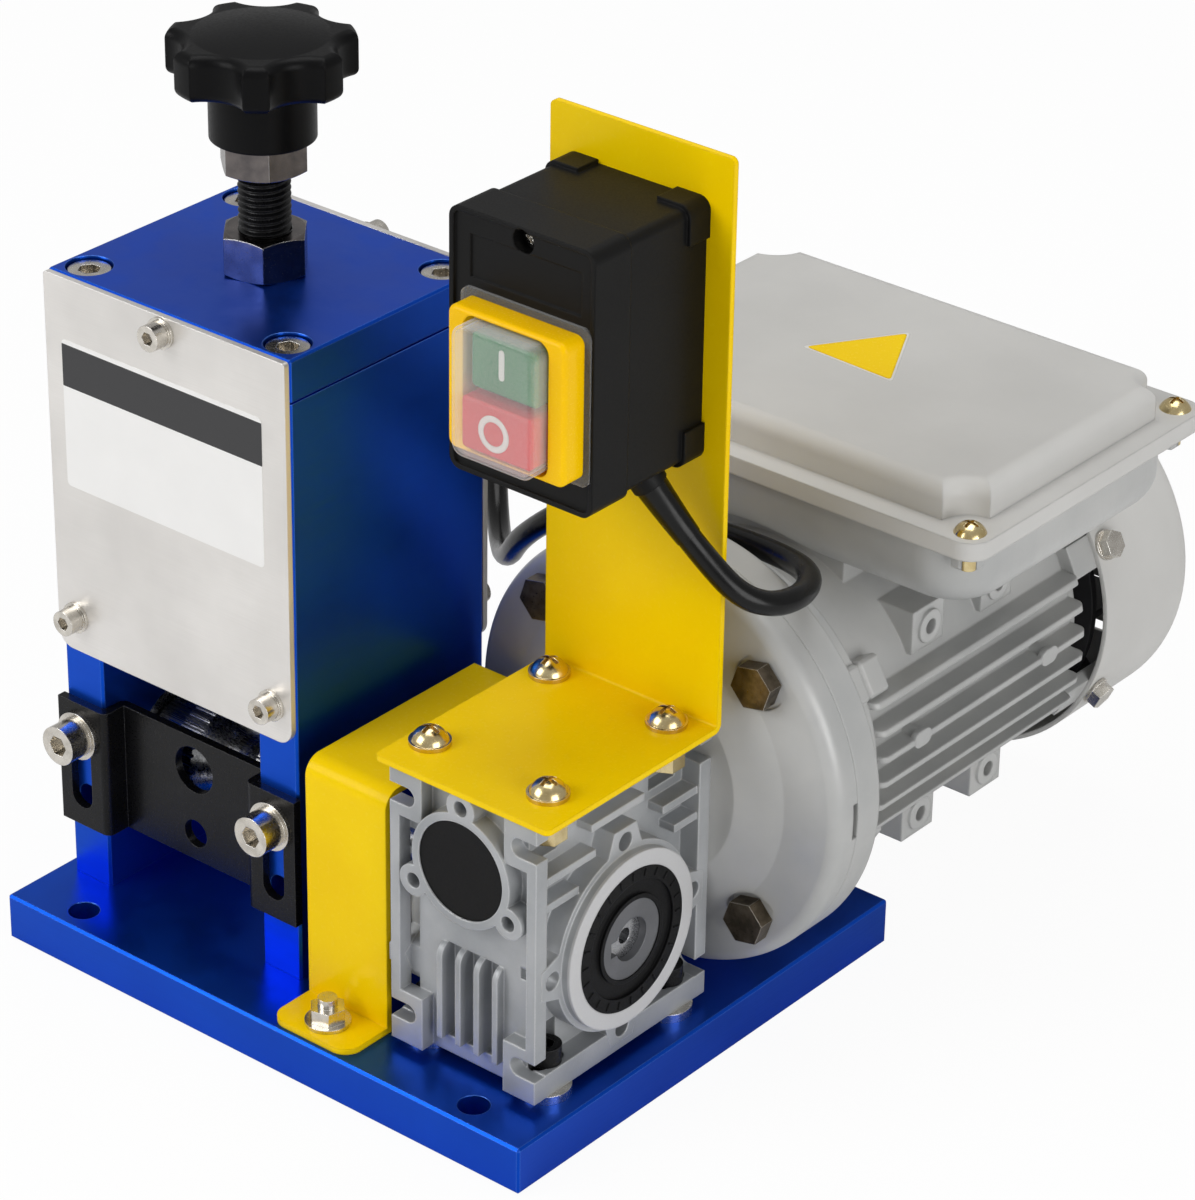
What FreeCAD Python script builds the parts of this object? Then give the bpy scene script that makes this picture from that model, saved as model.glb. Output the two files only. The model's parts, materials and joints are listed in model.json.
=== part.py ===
import FreeCAD
import Part
import math
import os

from FreeCAD import Vector

X_AXIS = Vector(1, 0, 0)
Y_AXIS = Vector(0, 1, 0)
Z_AXIS = Vector(0, 0, 1)
FAR = 10000.0
EVERY_LOW = (-FAR, -FAR, -FAR)
EVERY_HIGH = (FAR, FAR, FAR)

# Wire stripping machine: a geared motor turns a knurled feed roller inside a blue
# aluminium head, and a hand knob sets the height of a round slitting blade above it.
# X runs to the machine's right, Y to its rear, Z up. The origin is the centre of the
# base plate's underside. All sizes are in millimetres.

# Base plate
base_length = 212.0
base_width = 180.0
base_thickness = 16.0
base_edge_chamfer = 0.8
base_hole_spacing = 162.0
base_hole_diameter = 10.0

# Head
head_width = 98.0
head_depth = 85.0
head_height = 210.5
head_centre_x = -51.5
head_centre_y = -23.0
side_thickness = 16.0
lid_thickness = 14.0
head_chamfer = 0.8
head_screw_diameter = 8.0
head_screw_length = 30.0
head_screw_edge = 8.8
base_screw_edge = 12.0
base_screw_engagement = 20.0
counterbore_depth = 9.0
socket_head_clearance = 0.75
tapped_fit = 0.05
screw_tip_gap = 2.0
clearance_hole_play = 0.6
face_gap = 0.3

# Stainless guard plates on the head's front and rear
guard_thickness = 2.0
guard_width = 97.6
guard_height = 126.5
guard_top_margin = 0.3
guard_corner_radius = 5.5
guard_top_radius = 1.2
guard_screw_diameter = 5.0
guard_screw_length = 16.0
guard_screw_low = 11.8
guard_screw_high = 5.5
guard_washer_diameter = 10.0
guard_washer_thickness = 1.0

# Sliding wire guide plate
guide_width = 100.0
guide_height = 44.0
guide_bottom = 37.0
guide_thickness = 3.0
guide_recess = 8.5
guide_slot_width = 8.8
guide_slot_length = 31.0
guide_slot_bottom = 6.5
guide_large_hole = 16.0
guide_small_hole = 9.5
guide_large_height = 32.4
guide_small_height = 9.5
guide_bend_radius = 2.5
guide_screw_diameter = 8.0
guide_screw_length = 16.0
guide_washer_diameter = 16.0
guide_washer_thickness = 1.6
guide_lower_tap = 23.6

# Gearbox
gearbox_x = 69.5
gearbox_y = -33.0
foot_spacer_thickness = 3.0
foot_spacer_diameter = 16.0
gearbox_width = 56.0
gearbox_depth = 80.0
gearbox_height = 97.0
output_height = 40.0
centre_distance = 30.0
gearbox_post = 5.0
gearbox_wall_inset = 7.0
gearbox_foot_thickness = 8.0
gearbox_top_foot = 7.0
gearbox_block_width = 12.2
gearbox_block_height = 18.0
gearbox_rim_width = 3.5
gearbox_slot_depth = 9.5
gearbox_slot_bar = 4.0
gearbox_shelf_thickness = 2.5
gearbox_shelves = ((75.0, 28.0), (66.0, 20.5))
gearbox_rear_shelf = (84.0, 26.0, 24.0)
gearbox_slot_width = 6.3
gearbox_bolt_spacing_x = 45.0
gearbox_bolt_spacing_y = 57.0
gearbox_bolt_diameter = 6.0
gearbox_bolt_length = 20.0
spigot_diameter = 57.5
spigot_reach = 31.5
hub_diameter = 61.0
output_pitch_circle = 65.0
output_tap_diameter = 6.0
output_tap_depth = 10.0
output_lug_end = 4.8
output_lug_narrow = 10.0
output_lug_wide = 16.0
side_cover_screw_turn = 22.5
side_cover_circle = 68.0
side_cover_thickness = 3.5
wheel_cavity_radius = 26.5
wheel_cavity_half = 14.0
worm_chamber_radius = 12.5
plug_diameter = 32.0
plug_thickness = 6.0
plug_ring_radius = 18.7
plug_recess = 1.0
front_screw_circle = 42.0
front_screw_hole = 5.0
front_screw_depth = 10.0
front_recess_depth = 5.0
front_lobe_diameter = 10.5
front_fin_count = 4
front_fin_thickness = 2.0
front_fin_pitch = 7.2
front_fin_setback = 2.0
front_fin_top = 39.0
front_fin_round = 4.5
front_fin_pocket = 8.0

# Worm, wheel and their shaft
worm_outer_diameter = 19.7
worm_root_diameter = 13.2
worm_thread_pitch = 4.5
worm_thread_length = 31.5
worm_bore = 11.0
worm_bore_floor = 2.0
worm_shoulder = 18.0
worm_tooth_base = 3.6
worm_tooth_tip = 1.44
worm_front_journal = 12.0
worm_rear_journal = 20.0
wheel_width = 18.0
wheel_rim_radius = 24.5
wheel_seat_radius = 15.0
wheel_teeth = 30
wheel_tooth_gap = 2.3
wheel_tooth_root = 18.0
quill_diameter = 26.0
quill_bore = 14.0
collar_land = 2.0
output_shaft_diameter = 14.0
feed_shaft_diameter = 17.0
shaft_hole_play = 2.0
key_width = 5.0
key_length = 36.0
key_rise = 2.3
running_fit = 0.05
shaft_end_recess = 3.0

# Rolling bearings and seals: outer diameter, width
output_bearing_outer = 47.0
output_bearing_width = 8.0
output_seal_width = 7.0
output_lip_outer = 38.5
output_lip_gap = 1.5
worm_front_outer = 32.0
worm_front_width = 10.0
worm_rear_outer = 37.0
worm_rear_width = 9.0
worm_seal_outer = 35.0
worm_seal_width = 6.0
head_bearing_outer = 35.0
head_bearing_width = 10.0
motor_bearing_outer = 32.0
motor_bearing_width = 10.0
motor_bearing_bore = 12.0
motor_shaft_room = 16.0
bearing_groove = 0.8
bearing_ring_share = 0.55

# Feed roller
roller_diameter = 34.0
roller_groove_diameter = 21.0
roller_width = 40.0
roller_groove_width = 24.0
roller_hub_diameter = 25.0
knurl_count = 36
knurl_depth = 0.8

# Blade, its carriage and the height adjuster
blade_diameter = 46.0
blade_thickness = 3.0
blade_bevel = 4.0
blade_pin_diameter = 10.0
blade_pin_inset = 1.2
blade_lowest_gap = 0.5
blade_down_travel = 19.0
carriage_depth = 58.0
carriage_side_gap = 0.4
carriage_crown = 26.0
carriage_skirt = 11.0
carriage_slot_width = 12.0
collar_diameter = 26.0
collar_thickness = 8.0
retainer_size = 44.0
retainer_thickness = 6.0
retainer_screw_diameter = 4.0
retainer_screw_spacing = 34.0
rail_width = 14.0
rail_thickness = 8.0
rail_length = 112.0
rail_top_gap = 8.0
rail_fit = 0.3
screw_diameter = 16.0
nut_across_flats = 24.0
nut_chamfer_run = 1.2
jam_nut_turn = 10.0
hub_nut_turn = 20.0
jam_nut_height = 13.0
hub_nut_rise = 32.5
hub_nut_height = 10.3
knob_hub_diameter = 32.0
knob_hub_height = 17.2
knob_diameter = 56.5
knob_rim_height = 14.5
knob_dome_height = 2.3
knob_dome_diameter = 41.0
knob_lobes = 7
knob_lobe_cut_radius = 12.0
knob_lobe_cut_depth = 5.0
knob_edge_radius = 3.0
knob_lobe_turn = -24.3

# Yellow cover over the shaft between head and gearbox
cover_left = 5.0
cover_width = 32.0
cover_front = -70.0
cover_back = 6.5
cover_top = 100.0
cover_sheet = 2.0
cover_bend_radius = 6.0
cover_foot_reach = 18.0
cover_stud_diameter = 6.0
cover_nut_flats = 10.0
cover_nut_height = 6.0

# Yellow bracket that carries the switch box
bracket_left = 38.8
bracket_width = 66.0
bracket_front = -76.8
bracket_back = 2.0
bracket_sheet = 2.0
bracket_top = 298.5
bracket_rear_screw_shift = 3.2
bracket_corner_radius = 2.0
bracket_bend_radius = 3.0
bracket_screw_head = 11.5
bracket_screw_head_height = 4.2
bracket_washer = 12.8
bracket_washer_thickness = 1.4
bracket_nut_flats = 10.0
bracket_nut_height = 5.0

# Switch box
box_width = 52.6
box_depth = 50.0
box_height = 81.5
box_bottom = 203.4
box_centre_x = 70.8
box_wall = 2.5
box_corner_radius = 4.0
box_band_depth = 15.5
box_band_step = 1.2
box_rear_pad_depth = 9.0
box_rear_pad_length = 12.0
box_field_left = 51.7
box_field_right = 91.6
box_field_low = 264.2
box_field_high = 277.2
box_field_depth = 0.5
box_inner_radius = 1.0
box_rim = 1.6
box_face_recess = 0.8
bezel_width = 42.8
bezel_height = 44.2
bezel_thickness = 8.2
bezel_drop = 47.6
bezel_shift = 1.8
bezel_edge_radius = 1.5
bezel_corner_radius = 3.0
button_window_width = 31.0
button_window_height = 41.6
button_drop = 0.7
start_width = 24.0
stop_width = 25.4
start_height = 16.7
stop_height = 16.0
button_split_gap = 1.7
start_proud = 0.6
stop_proud = 4.0
button_travel = 3.0
button_edge = 0.6
button_corner_radius = 1.5
button_guide_width = 14.0
button_guide_height = 9.0
button_play = 0.35
cap_reach = 15.8
cap_wall = 1.0
cap_width = 29.6
cap_height = 40.2
cap_flange = 1.2
cap_flange_margin = 2.1
cap_corner_radius = 4.0
cap_edge_radius = 1.5
switch_core_width = 34.0
switch_core_height = 44.0
switch_core_depth = 26.0
switch_core_radius = 2.0
box_screw_diameter = 4.0
box_screw_drop = 4.4
box_screw_recess = 3.0
box_screw_head = 7.0
box_screw_head_height = 2.0
box_screw_wall = 1.2

# Switch cable
cable_diameter = 7.5

# Motor flange and motor
dish_depth = 17.5
motor_flange_diameter = 140.0
motor_flange_thickness = 10.5
dish_rim_depth = 9.0
dish_neck_diameter = 74.0
dish_waist_diameter = 103.7
dish_waist_depth = 5.3
dish_edge_radius = 5.0
flange_seat_depth = 6.8
flange_bolt_turn = 12.0
dish_slot_depth = 2.3
dish_wall = 6.0
flange_pitch_circle = 115.0
flange_bolt_diameter = 8.0
flange_bolt_flats = 13.0
flange_bolt_head = 5.5
pilot_diameter = 95.0
pilot_depth = 3.0
motor_frame_diameter = 108.0
motor_fin_diameter = 121.0
motor_frame_start = 50.0
motor_frame_end = 158.0
motor_fin_pitch = 8.6
motor_fin_thickness = 2.0
motor_fin_count = 6
motor_fin_round = 3.0
motor_fin_boss_level = 4.3
motor_fin_boss_places = (70.0, 137.0)
motor_fin_boss_diameter = 5.5
motor_fin_boss_cap = (8.5, 5.6, 2.0)
motor_lug_angle = 29.6
motor_lug_inner = 49.0
motor_lug_outer = 60.0
motor_lug_width = 12.0
motor_lug_front = 42.5
motor_lug_end = 59.5
stator_outer = 96.0
stator_bore = 60.0
stator_length = 64.0
stator_centre_y = 106.0
winding_outer = 90.0
winding_bore = 66.0
winding_overhang = 16.0
rotor_diameter = 59.2
rotor_length = 64.0
rotor_shaft_diameter = 16.0
shield_outer = 116.0
rear_shield_outer = 100.0
shield_wall = 6.0
shield_step = 8.0
shield_land = 4.0
rear_shield_end = 166.0
fan_diameter = 104.0
fan_width = 22.0
fan_start = 173.0
fan_blades = 9
fan_blade_thickness = 2.5
fan_hub_diameter = 28.0
fan_tip_gap = 2.0
fan_cover_start = 169.5
fan_cover_end = 221.0
fan_cover_diameter = 120.0
fan_cover_sheet = 1.5
fan_cover_round = 9.0
fan_grille_slot = 4.0
fan_grille_pitch = 8.0
fan_grille_radius = 44.0
fan_lug_diameter = 11.0
fan_lug_overlap = 10.0
fan_screw_diameter = 5.0
fan_screw_flats = 8.0
fan_washer_thickness = 1.0
fan_screw_angle = -26.0

# Terminal box on the motor
terminal_x = 69.5
terminal_y = 116.5
terminal_flange_length = 171.0
terminal_flange_width = 123.0
terminal_flange_top = 173.0
terminal_rim = 6.0
terminal_plateau_inset = 8.0
terminal_plateau_top = 184.0
terminal_plateau_round = 5.0
terminal_corner_notch = 10.5
terminal_rim_radius = 7.5
terminal_bottom = 143.0
terminal_tub_inset = 5.0
terminal_tub_radius = 20.0
terminal_bottom_radius = 12.0
terminal_wall = 3.0
terminal_post_depth = 9.0
terminal_post_diameter = 10.0
terminal_screw_diameter = 5.0
terminal_screw_head = 10.0
terminal_screw_head_height = 3.4
terminal_screw_length = 12.0
terminal_saddle_gap = 0.3

# Cable glands on the terminal box
gland_thread = 12.0
gland_boss = 14.0
gland_hex = 20.0
gland_hex_height = 6.0
gland_dome_diameter = 17.0
gland_dome_height = 12.0
gland_nose_diameter = 9.5
gland_height = 159.5

# Motor mounting pads and saddle
motor_pad_reach = 49.5
motor_pad_low = 26.0
motor_pad_high = 40.4
motor_pad_starts = (77.0, 113.0)
motor_pad_length = 16.0
motor_boss_diameter = 11.0
motor_boss_height = 1.2
motor_boss_hole = 5.0
motor_saddle_half = 28.0
motor_saddle_inset_front = 20.0
motor_saddle_inset_rear = 10.0

# Inside the terminal box
terminal_block_offset = 36.0
terminal_block_length = 32.0
terminal_block_width = 60.0
terminal_block_height = 14.0
terminal_poles = 6
terminal_pole_hole = 2.6
terminal_row_inset = 18.0
capacitor_diameter = 24.0
capacitor_length = 70.0
capacitor_stud_diameter = 9.6
capacitor_stud_length = 4.0
capacitor_side_gap = 8.0

# Cable route between the two boxes
grommet_diameter = 11.0
grommet_drop = 6.0
cable_exit_inset = 9.6
cable_exit_from_back = 17.5
cable_exit_lean = (0.42, 0.34, -0.84)
cable_first_run = 12.0
cable_points = (
    (103.5, -7.5, 178.0),
    (113.5, -3.5, 167.0),
    (119.5, 5.0, 162.0),
    (121.0, 18.5, 160.5),
    (112.5, 33.5, 158.5),
    (94.0, 41.5, 155.5),
    (64.0, 43.0, 153.5),
    (22.0, 42.5, 149.5),
    (-10.0, 47.0, 124.0),
    (-29.0, 61.0, 101.5),
    (-50.0, 82.0, 95.5),
    (-68.0, 101.0, 108.0),
    (-74.5, 113.0, 131.0),
    (-62.0, 116.5, 159.5),
)

# Positions that follow from the sizes above
head_left = head_centre_x - head_width / 2
head_right = head_centre_x + head_width / 2
head_front = head_centre_y - head_depth / 2
head_back = head_centre_y + head_depth / 2
head_top = base_thickness + head_height
lid_bottom = head_top - lid_thickness
inner_left = head_left + side_thickness
inner_right = head_right - side_thickness
left_leg_x = head_left + side_thickness / 2
right_leg_x = head_right - side_thickness / 2
leg_xs = (left_leg_x, right_leg_x)
guard_top = head_top - guard_top_margin
guard_bottom = guard_top - guard_height
guide_top = guide_bottom + guide_height
slot_bottom = guide_bottom + guide_slot_bottom
guide_screw_z = slot_bottom + guide_slot_length - guide_slot_width / 2
foot_z = base_thickness + foot_spacer_thickness
output_z = foot_z + output_height
worm_z = output_z + centre_distance
gearbox_top = foot_z + gearbox_height
gearbox_front = gearbox_y - gearbox_depth / 2
gearbox_back = gearbox_y + gearbox_depth / 2
gearbox_left = gearbox_x - gearbox_width / 2
gearbox_right = gearbox_x + gearbox_width / 2
gearbox_foot_top = foot_z + gearbox_foot_thickness
gearbox_top_low = gearbox_top - gearbox_top_foot
hub_face = gearbox_width / 2 + face_gap
side_cover_seat = gearbox_left + side_cover_thickness
bearing_start = wheel_cavity_half
seal_start = spigot_reach - output_seal_width
plug_face = gearbox_front - plug_recess / 2
worm_bearing_start = plug_face + plug_thickness
worm_socket_start = gearbox_y + worm_thread_length / 2 + worm_bore_floor
dish_plane = gearbox_back + dish_depth
motor_flange_back = dish_plane + motor_flange_thickness
plate_front = bracket_back - bracket_sheet
box_back = plate_front
box_front = box_back - box_depth
box_top = box_bottom + box_height
box_body_bottom = box_bottom + box_band_step
bezel_x = box_centre_x + bezel_shift
blade_radius = blade_diameter / 2
blade_z = output_z + roller_groove_diameter / 2 + blade_lowest_gap + blade_down_travel + blade_radius
carriage_bottom = blade_z - carriage_skirt
carriage_top = blade_z + carriage_crown + collar_thickness + 2 * face_gap
collar_bottom = carriage_top - collar_thickness - face_gap
retainer_top = carriage_top + retainer_thickness
hub_nut_bottom = head_top + hub_nut_rise
hub_bottom = hub_nut_bottom + hub_nut_height
knob_bottom = hub_bottom + knob_hub_height
terminal_left = terminal_x - terminal_flange_length / 2
terminal_front = terminal_y - terminal_flange_width / 2


def box(x0, y0, z0, x1, y1, z1):
    return Part.makeBox(x1 - x0, y1 - y0, z1 - z0, Vector(x0, y0, z0))


def rod(axis, x, y, z, diameter, length):
    return Part.makeCylinder(diameter / 2, length, Vector(x, y, z), axis)


def rod_x(x, y, z, diameter, length):
    return rod(X_AXIS, x, y, z, diameter, length)


def rod_y(x, y, z, diameter, length):
    return rod(Y_AXIS, x, y, z, diameter, length)


def rod_z(x, y, z, diameter, length):
    return rod(Z_AXIS, x, y, z, diameter, length)


def ring(axis, x, y, z, outer, inner, length):
    return rod(axis, x, y, z, outer, length).cut(rod(axis, x, y, z, inner, length))


def prism(axis, x, y, z, flats, height, turn=0.0):
    radius = flats / math.sqrt(3)
    points = []
    for step in range(7):
        angle = math.radians(60 * step + turn)
        points.append(Vector(radius * math.cos(angle), radius * math.sin(angle), 0))
    solid = Part.Face(Part.makePolygon(points)).extrude(Vector(0, 0, height))
    turned = FreeCAD.Rotation(Z_AXIS, axis)
    solid.Placement = FreeCAD.Placement(Vector(x, y, z), turned)
    return solid


def fuse(shapes):
    first = shapes[0]
    if len(shapes) == 1:
        return first
    return first.multiFuse(shapes[1:]).removeSplitter()


def cut(shape, tools):
    return shape.cut(Part.makeCompound(tools))


def edges_along(shape, axis, low, high):
    found = []
    for edge in shape.Edges:
        if len(edge.Vertexes) != 2 or not isinstance(edge.Curve, (Part.Line, Part.LineSegment)):
            continue
        first = edge.Vertexes[0].Point
        second = edge.Vertexes[1].Point
        run = second - first
        if run.Length > 0 and abs(abs(run.dot(axis)) - run.Length) < 1e-6:
            middle = (first + second) * 0.5
            if all(low[i] - 1e-6 <= middle[i] <= high[i] + 1e-6 for i in range(3)):
                found.append(edge)
    return found


def round_along(shape, axis, radius, low=EVERY_LOW, high=EVERY_HIGH):
    return shape.makeFillet(radius, edges_along(shape, axis, low, high))


def chamfer_all(shape, size):
    return shape.makeChamfer(size, shape.Edges)


def rounded_box(x0, y0, z0, x1, y1, z1, radius, axis=Z_AXIS):
    return round_along(box(x0, y0, z0, x1, y1, z1), axis, radius)


def revolve(points, centre, axis, across):
    # points are (along the axis, radius) pairs of a closed outline
    outline = [centre + axis * along + across * radius for along, radius in points]
    face = Part.Face(Part.makePolygon(outline + [outline[0]]))
    return face.revolve(centre, axis, 360)


def socket_head(diameter):
    return 1.6 * diameter + 0.2


def socket_screw(axis, seat, diameter, length):
    # a socket head cap screw whose head sits on the point seat, shank along axis
    back = axis * -1
    shape = rod(back, seat.x, seat.y, seat.z, socket_head(diameter), diameter)
    shape = shape.fuse(rod(axis, seat.x, seat.y, seat.z, diameter, length))
    key_flats = 0.78 * diameter
    top = seat + back * (diameter * 0.4)
    shape = shape.cut(prism(back, top.x, top.y, top.z, key_flats, diameter))
    return shape.removeSplitter()


def hex_bolt(axis, seat, diameter, length, flats, head, turn=0.0):
    back = axis * -1
    shape = prism(back, seat.x, seat.y, seat.z, flats, head, turn)
    return shape.fuse(rod(axis, seat.x, seat.y, seat.z, diameter, length)).removeSplitter()


def pan_screw(axis, seat, diameter, length, head_diameter, head_height):
    back = axis * -1
    radius = head_diameter / 2
    ball_radius = (radius * radius + head_height * head_height) / (2 * head_height)
    ball_centre = seat + back * (head_height - ball_radius)
    ball = Part.makeSphere(ball_radius, ball_centre)
    dome = ball.common(rod(back, seat.x, seat.y, seat.z, head_diameter, head_height))
    top = seat + back * (head_height * 0.45)
    across = X_AXIS if abs(axis.x) < 0.5 else Y_AXIS
    over = axis.cross(across)
    slot_width = head_diameter * 0.12
    slot_length = head_diameter * 0.55
    for direction, side in ((across, over), (over, across)):
        corner = top - direction * (slot_length / 2) - side * (slot_width / 2)
        points = [
            corner,
            corner + direction * slot_length,
            corner + direction * slot_length + side * slot_width,
            corner + side * slot_width,
        ]
        bar = Part.Face(Part.makePolygon(points + [points[0]])).extrude(back * head_height)
        dome = dome.cut(bar)
    return dome.fuse(rod(axis, seat.x, seat.y, seat.z, diameter, length)).removeSplitter()


def nut(axis, seat, flats, height, bore, turn=0.0):
    solid = prism(axis, seat.x, seat.y, seat.z, flats, height, turn)
    return solid.cut(rod(axis, seat.x, seat.y, seat.z, bore, height))


def bearing(axis, start, outer, inner, width):
    # two rings with a grooved face between them, made as one unit around a shaft of size inner
    section = (outer - inner) / 2
    body = ring(axis, start.x, start.y, start.z, outer, inner + 2 * running_fit, width)
    groove_outer = outer - section * bearing_ring_share
    groove_inner = inner + section * bearing_ring_share
    far = start + axis * (width - bearing_groove)
    for at in (start, far):
        body = body.cut(ring(axis, at.x, at.y, at.z, groove_outer, groove_inner, bearing_groove))
    return body


# Base

def base_hole_points():
    half = base_hole_spacing / 2
    return [(x, y) for x in (-half, half) for y in (-half, half)]


def head_base_points():
    ys = (head_front + base_screw_edge, head_back - base_screw_edge)
    return [(x, y) for x in leg_xs for y in ys]


def gearbox_bolt_points():
    half_x = gearbox_bolt_spacing_x / 2
    half_y = gearbox_bolt_spacing_y / 2
    return [(gearbox_x + i * half_x, gearbox_y + j * half_y) for i in (-1, 1) for j in (-1, 1)]


def bracket_screw_points():
    points = []
    for x, y in gearbox_bolt_points():
        points.append((x, y - bracket_rear_screw_shift if y > gearbox_y else y))
    return points


def cover_stud_points():
    x = cover_left + cover_width / 2
    return [(x, cover_front - cover_foot_reach / 2)]


def make_base_plate():
    plate = box(-base_length / 2, -base_width / 2, 0, base_length / 2, base_width / 2, base_thickness)
    plate = chamfer_all(plate, base_edge_chamfer)
    tools = []
    for x, y in base_hole_points():
        tools.append(rod_z(x, y, 0, base_hole_diameter, base_thickness))
    for x, y in head_base_points():
        tools.append(rod_z(x, y, 0, head_screw_diameter + clearance_hole_play, base_thickness))
        pocket = socket_head(head_screw_diameter) + 2 * socket_head_clearance
        tools.append(rod_z(x, y, 0, pocket, counterbore_depth))
    for x, y in gearbox_bolt_points():
        tools.append(rod_z(x, y, 0, gearbox_bolt_diameter + 2 * tapped_fit, base_thickness))
    for x, y in cover_stud_points():
        tools.append(rod_z(x, y, 0, cover_stud_diameter + 2 * tapped_fit, base_thickness))
    return cut(plate, tools)


# Head

def lid_screw_points():
    xs = (head_left + head_screw_edge, head_right - head_screw_edge)
    ys = (head_front + head_screw_edge, head_back - head_screw_edge)
    return [(x, y) for x in xs for y in ys]


def guard_screw_points():
    low = guard_bottom + guard_screw_low
    high = head_top - guard_screw_high
    return [(left_leg_x, low), (right_leg_x, low), (head_centre_x, high)]


def bearing_pocket(plate_inner, direction):
    start = plate_inner if direction > 0 else plate_inner - head_bearing_width
    return rod_x(start, gearbox_y, output_z, head_bearing_outer, head_bearing_width)


def rail_screw_zs():
    top = lid_bottom - rail_top_gap
    inset = rail_width
    return (top - inset, top - rail_length + inset)


def rail_screw_reach():
    return side_thickness - retainer_screw_diameter


def make_side_plate(is_right):
    x0 = inner_right if is_right else head_left
    x1 = x0 + side_thickness
    plate = box(x0, head_front, base_thickness, x1, head_back, lid_bottom)
    plate = plate.makeChamfer(head_chamfer, edges_along(plate, Z_AXIS, EVERY_LOW, EVERY_HIGH))
    tap = head_screw_diameter + 2 * tapped_fit
    tools = []
    for x, y in head_base_points():
        tools.append(rod_z(x, y, base_thickness, tap, base_screw_engagement))
    for x, y in lid_screw_points():
        tools.append(rod_z(x, y, lid_bottom - head_screw_length, tap, head_screw_length))
    leg_x = right_leg_x if is_right else left_leg_x
    guard_tap = guard_screw_diameter + 2 * tapped_fit
    for x, z in guard_screw_points():
        tools.append(rod_y(x, head_front, z, guard_tap, guard_screw_length))
        tools.append(rod_y(x, head_back - guard_screw_length, z, guard_tap, guard_screw_length))
    guide_tap = guide_screw_diameter + 2 * tapped_fit
    for z in (guide_screw_z, guide_screw_z - guide_lower_tap):
        tools.append(rod_y(leg_x, head_front, z, guide_tap, guide_screw_length))
    if is_right:
        tools.append(bearing_pocket(inner_right, 1))
        hole = feed_shaft_diameter + shaft_hole_play
        tools.append(rod_x(inner_right, gearbox_y, output_z, hole, side_thickness))
    else:
        tools.append(bearing_pocket(inner_left, -1))
    reach = rail_screw_reach()
    rail_x = inner_right if is_right else inner_left - reach
    for z in rail_screw_zs():
        tools.append(rod_x(rail_x, head_centre_y, z, retainer_screw_diameter + 2 * tapped_fit, reach))
    return cut(plate, tools)


def make_head_top_block():
    block = box(head_left, head_front, lid_bottom, head_right, head_back, head_top)
    block = chamfer_all(block, head_chamfer)
    tools = []
    pocket = socket_head(head_screw_diameter) + 2 * socket_head_clearance
    for x, y in lid_screw_points():
        tools.append(rod_z(x, y, lid_bottom, head_screw_diameter + clearance_hole_play, lid_thickness))
        tools.append(rod_z(x, y, head_top - counterbore_depth, pocket, counterbore_depth))
    thread = screw_diameter + 2 * running_fit
    tools.append(rod_z(head_centre_x, head_centre_y, lid_bottom, thread, lid_thickness))
    guard_tap = guard_screw_diameter + 2 * tapped_fit
    for x, z in guard_screw_points():
        tools.append(rod_y(x, head_front, z, guard_tap, guard_screw_length))
        tools.append(rod_y(x, head_back - guard_screw_length, z, guard_tap, guard_screw_length))
    return cut(block, tools)


def make_head_screws():
    screws = []
    for x, y in lid_screw_points():
        seat = Vector(x, y, head_top - counterbore_depth)
        length = head_screw_length + lid_thickness - counterbore_depth - screw_tip_gap
        screws.append(socket_screw(Z_AXIS * -1, seat, head_screw_diameter, length))
    for x, y in head_base_points():
        seat = Vector(x, y, counterbore_depth)
        length = base_screw_engagement + base_thickness - counterbore_depth - screw_tip_gap
        screws.append(socket_screw(Z_AXIS, seat, head_screw_diameter, length))
    return Part.makeCompound(screws)


def make_guard_plate(is_front):
    y0 = head_front - guard_thickness if is_front else head_back
    half = guard_width / 2
    plate = box(head_centre_x - half, y0, guard_bottom, head_centre_x + half, y0 + guard_thickness, guard_top)
    low = (-FAR, -FAR, guard_bottom)
    plate = round_along(plate, Y_AXIS, guard_corner_radius, low, (FAR, FAR, guard_bottom))
    plate = round_along(plate, Y_AXIS, guard_top_radius, (-FAR, -FAR, guard_top), (FAR, FAR, guard_top))
    hole = guard_screw_diameter + clearance_hole_play
    return cut(plate, [rod_y(x, y0, z, hole, guard_thickness) for x, z in guard_screw_points()])


def make_guard_screws():
    parts = []
    for x, z in guard_screw_points():
        for direction in (1, -1):
            face = head_front - guard_thickness if direction > 0 else head_back + guard_thickness
            axis = Y_AXIS * direction
            start = Vector(x, face - direction * guard_washer_thickness, z)
            hole = guard_screw_diameter + clearance_hole_play
            outer = guard_washer_diameter
            washer = ring(axis, x, start.y, z, outer, hole, guard_washer_thickness)
            screw = socket_screw(axis, start, guard_screw_diameter, guard_screw_length)
            parts.append(washer.fuse(screw))
    return Part.makeCompound(parts)


# Guide plate

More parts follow.
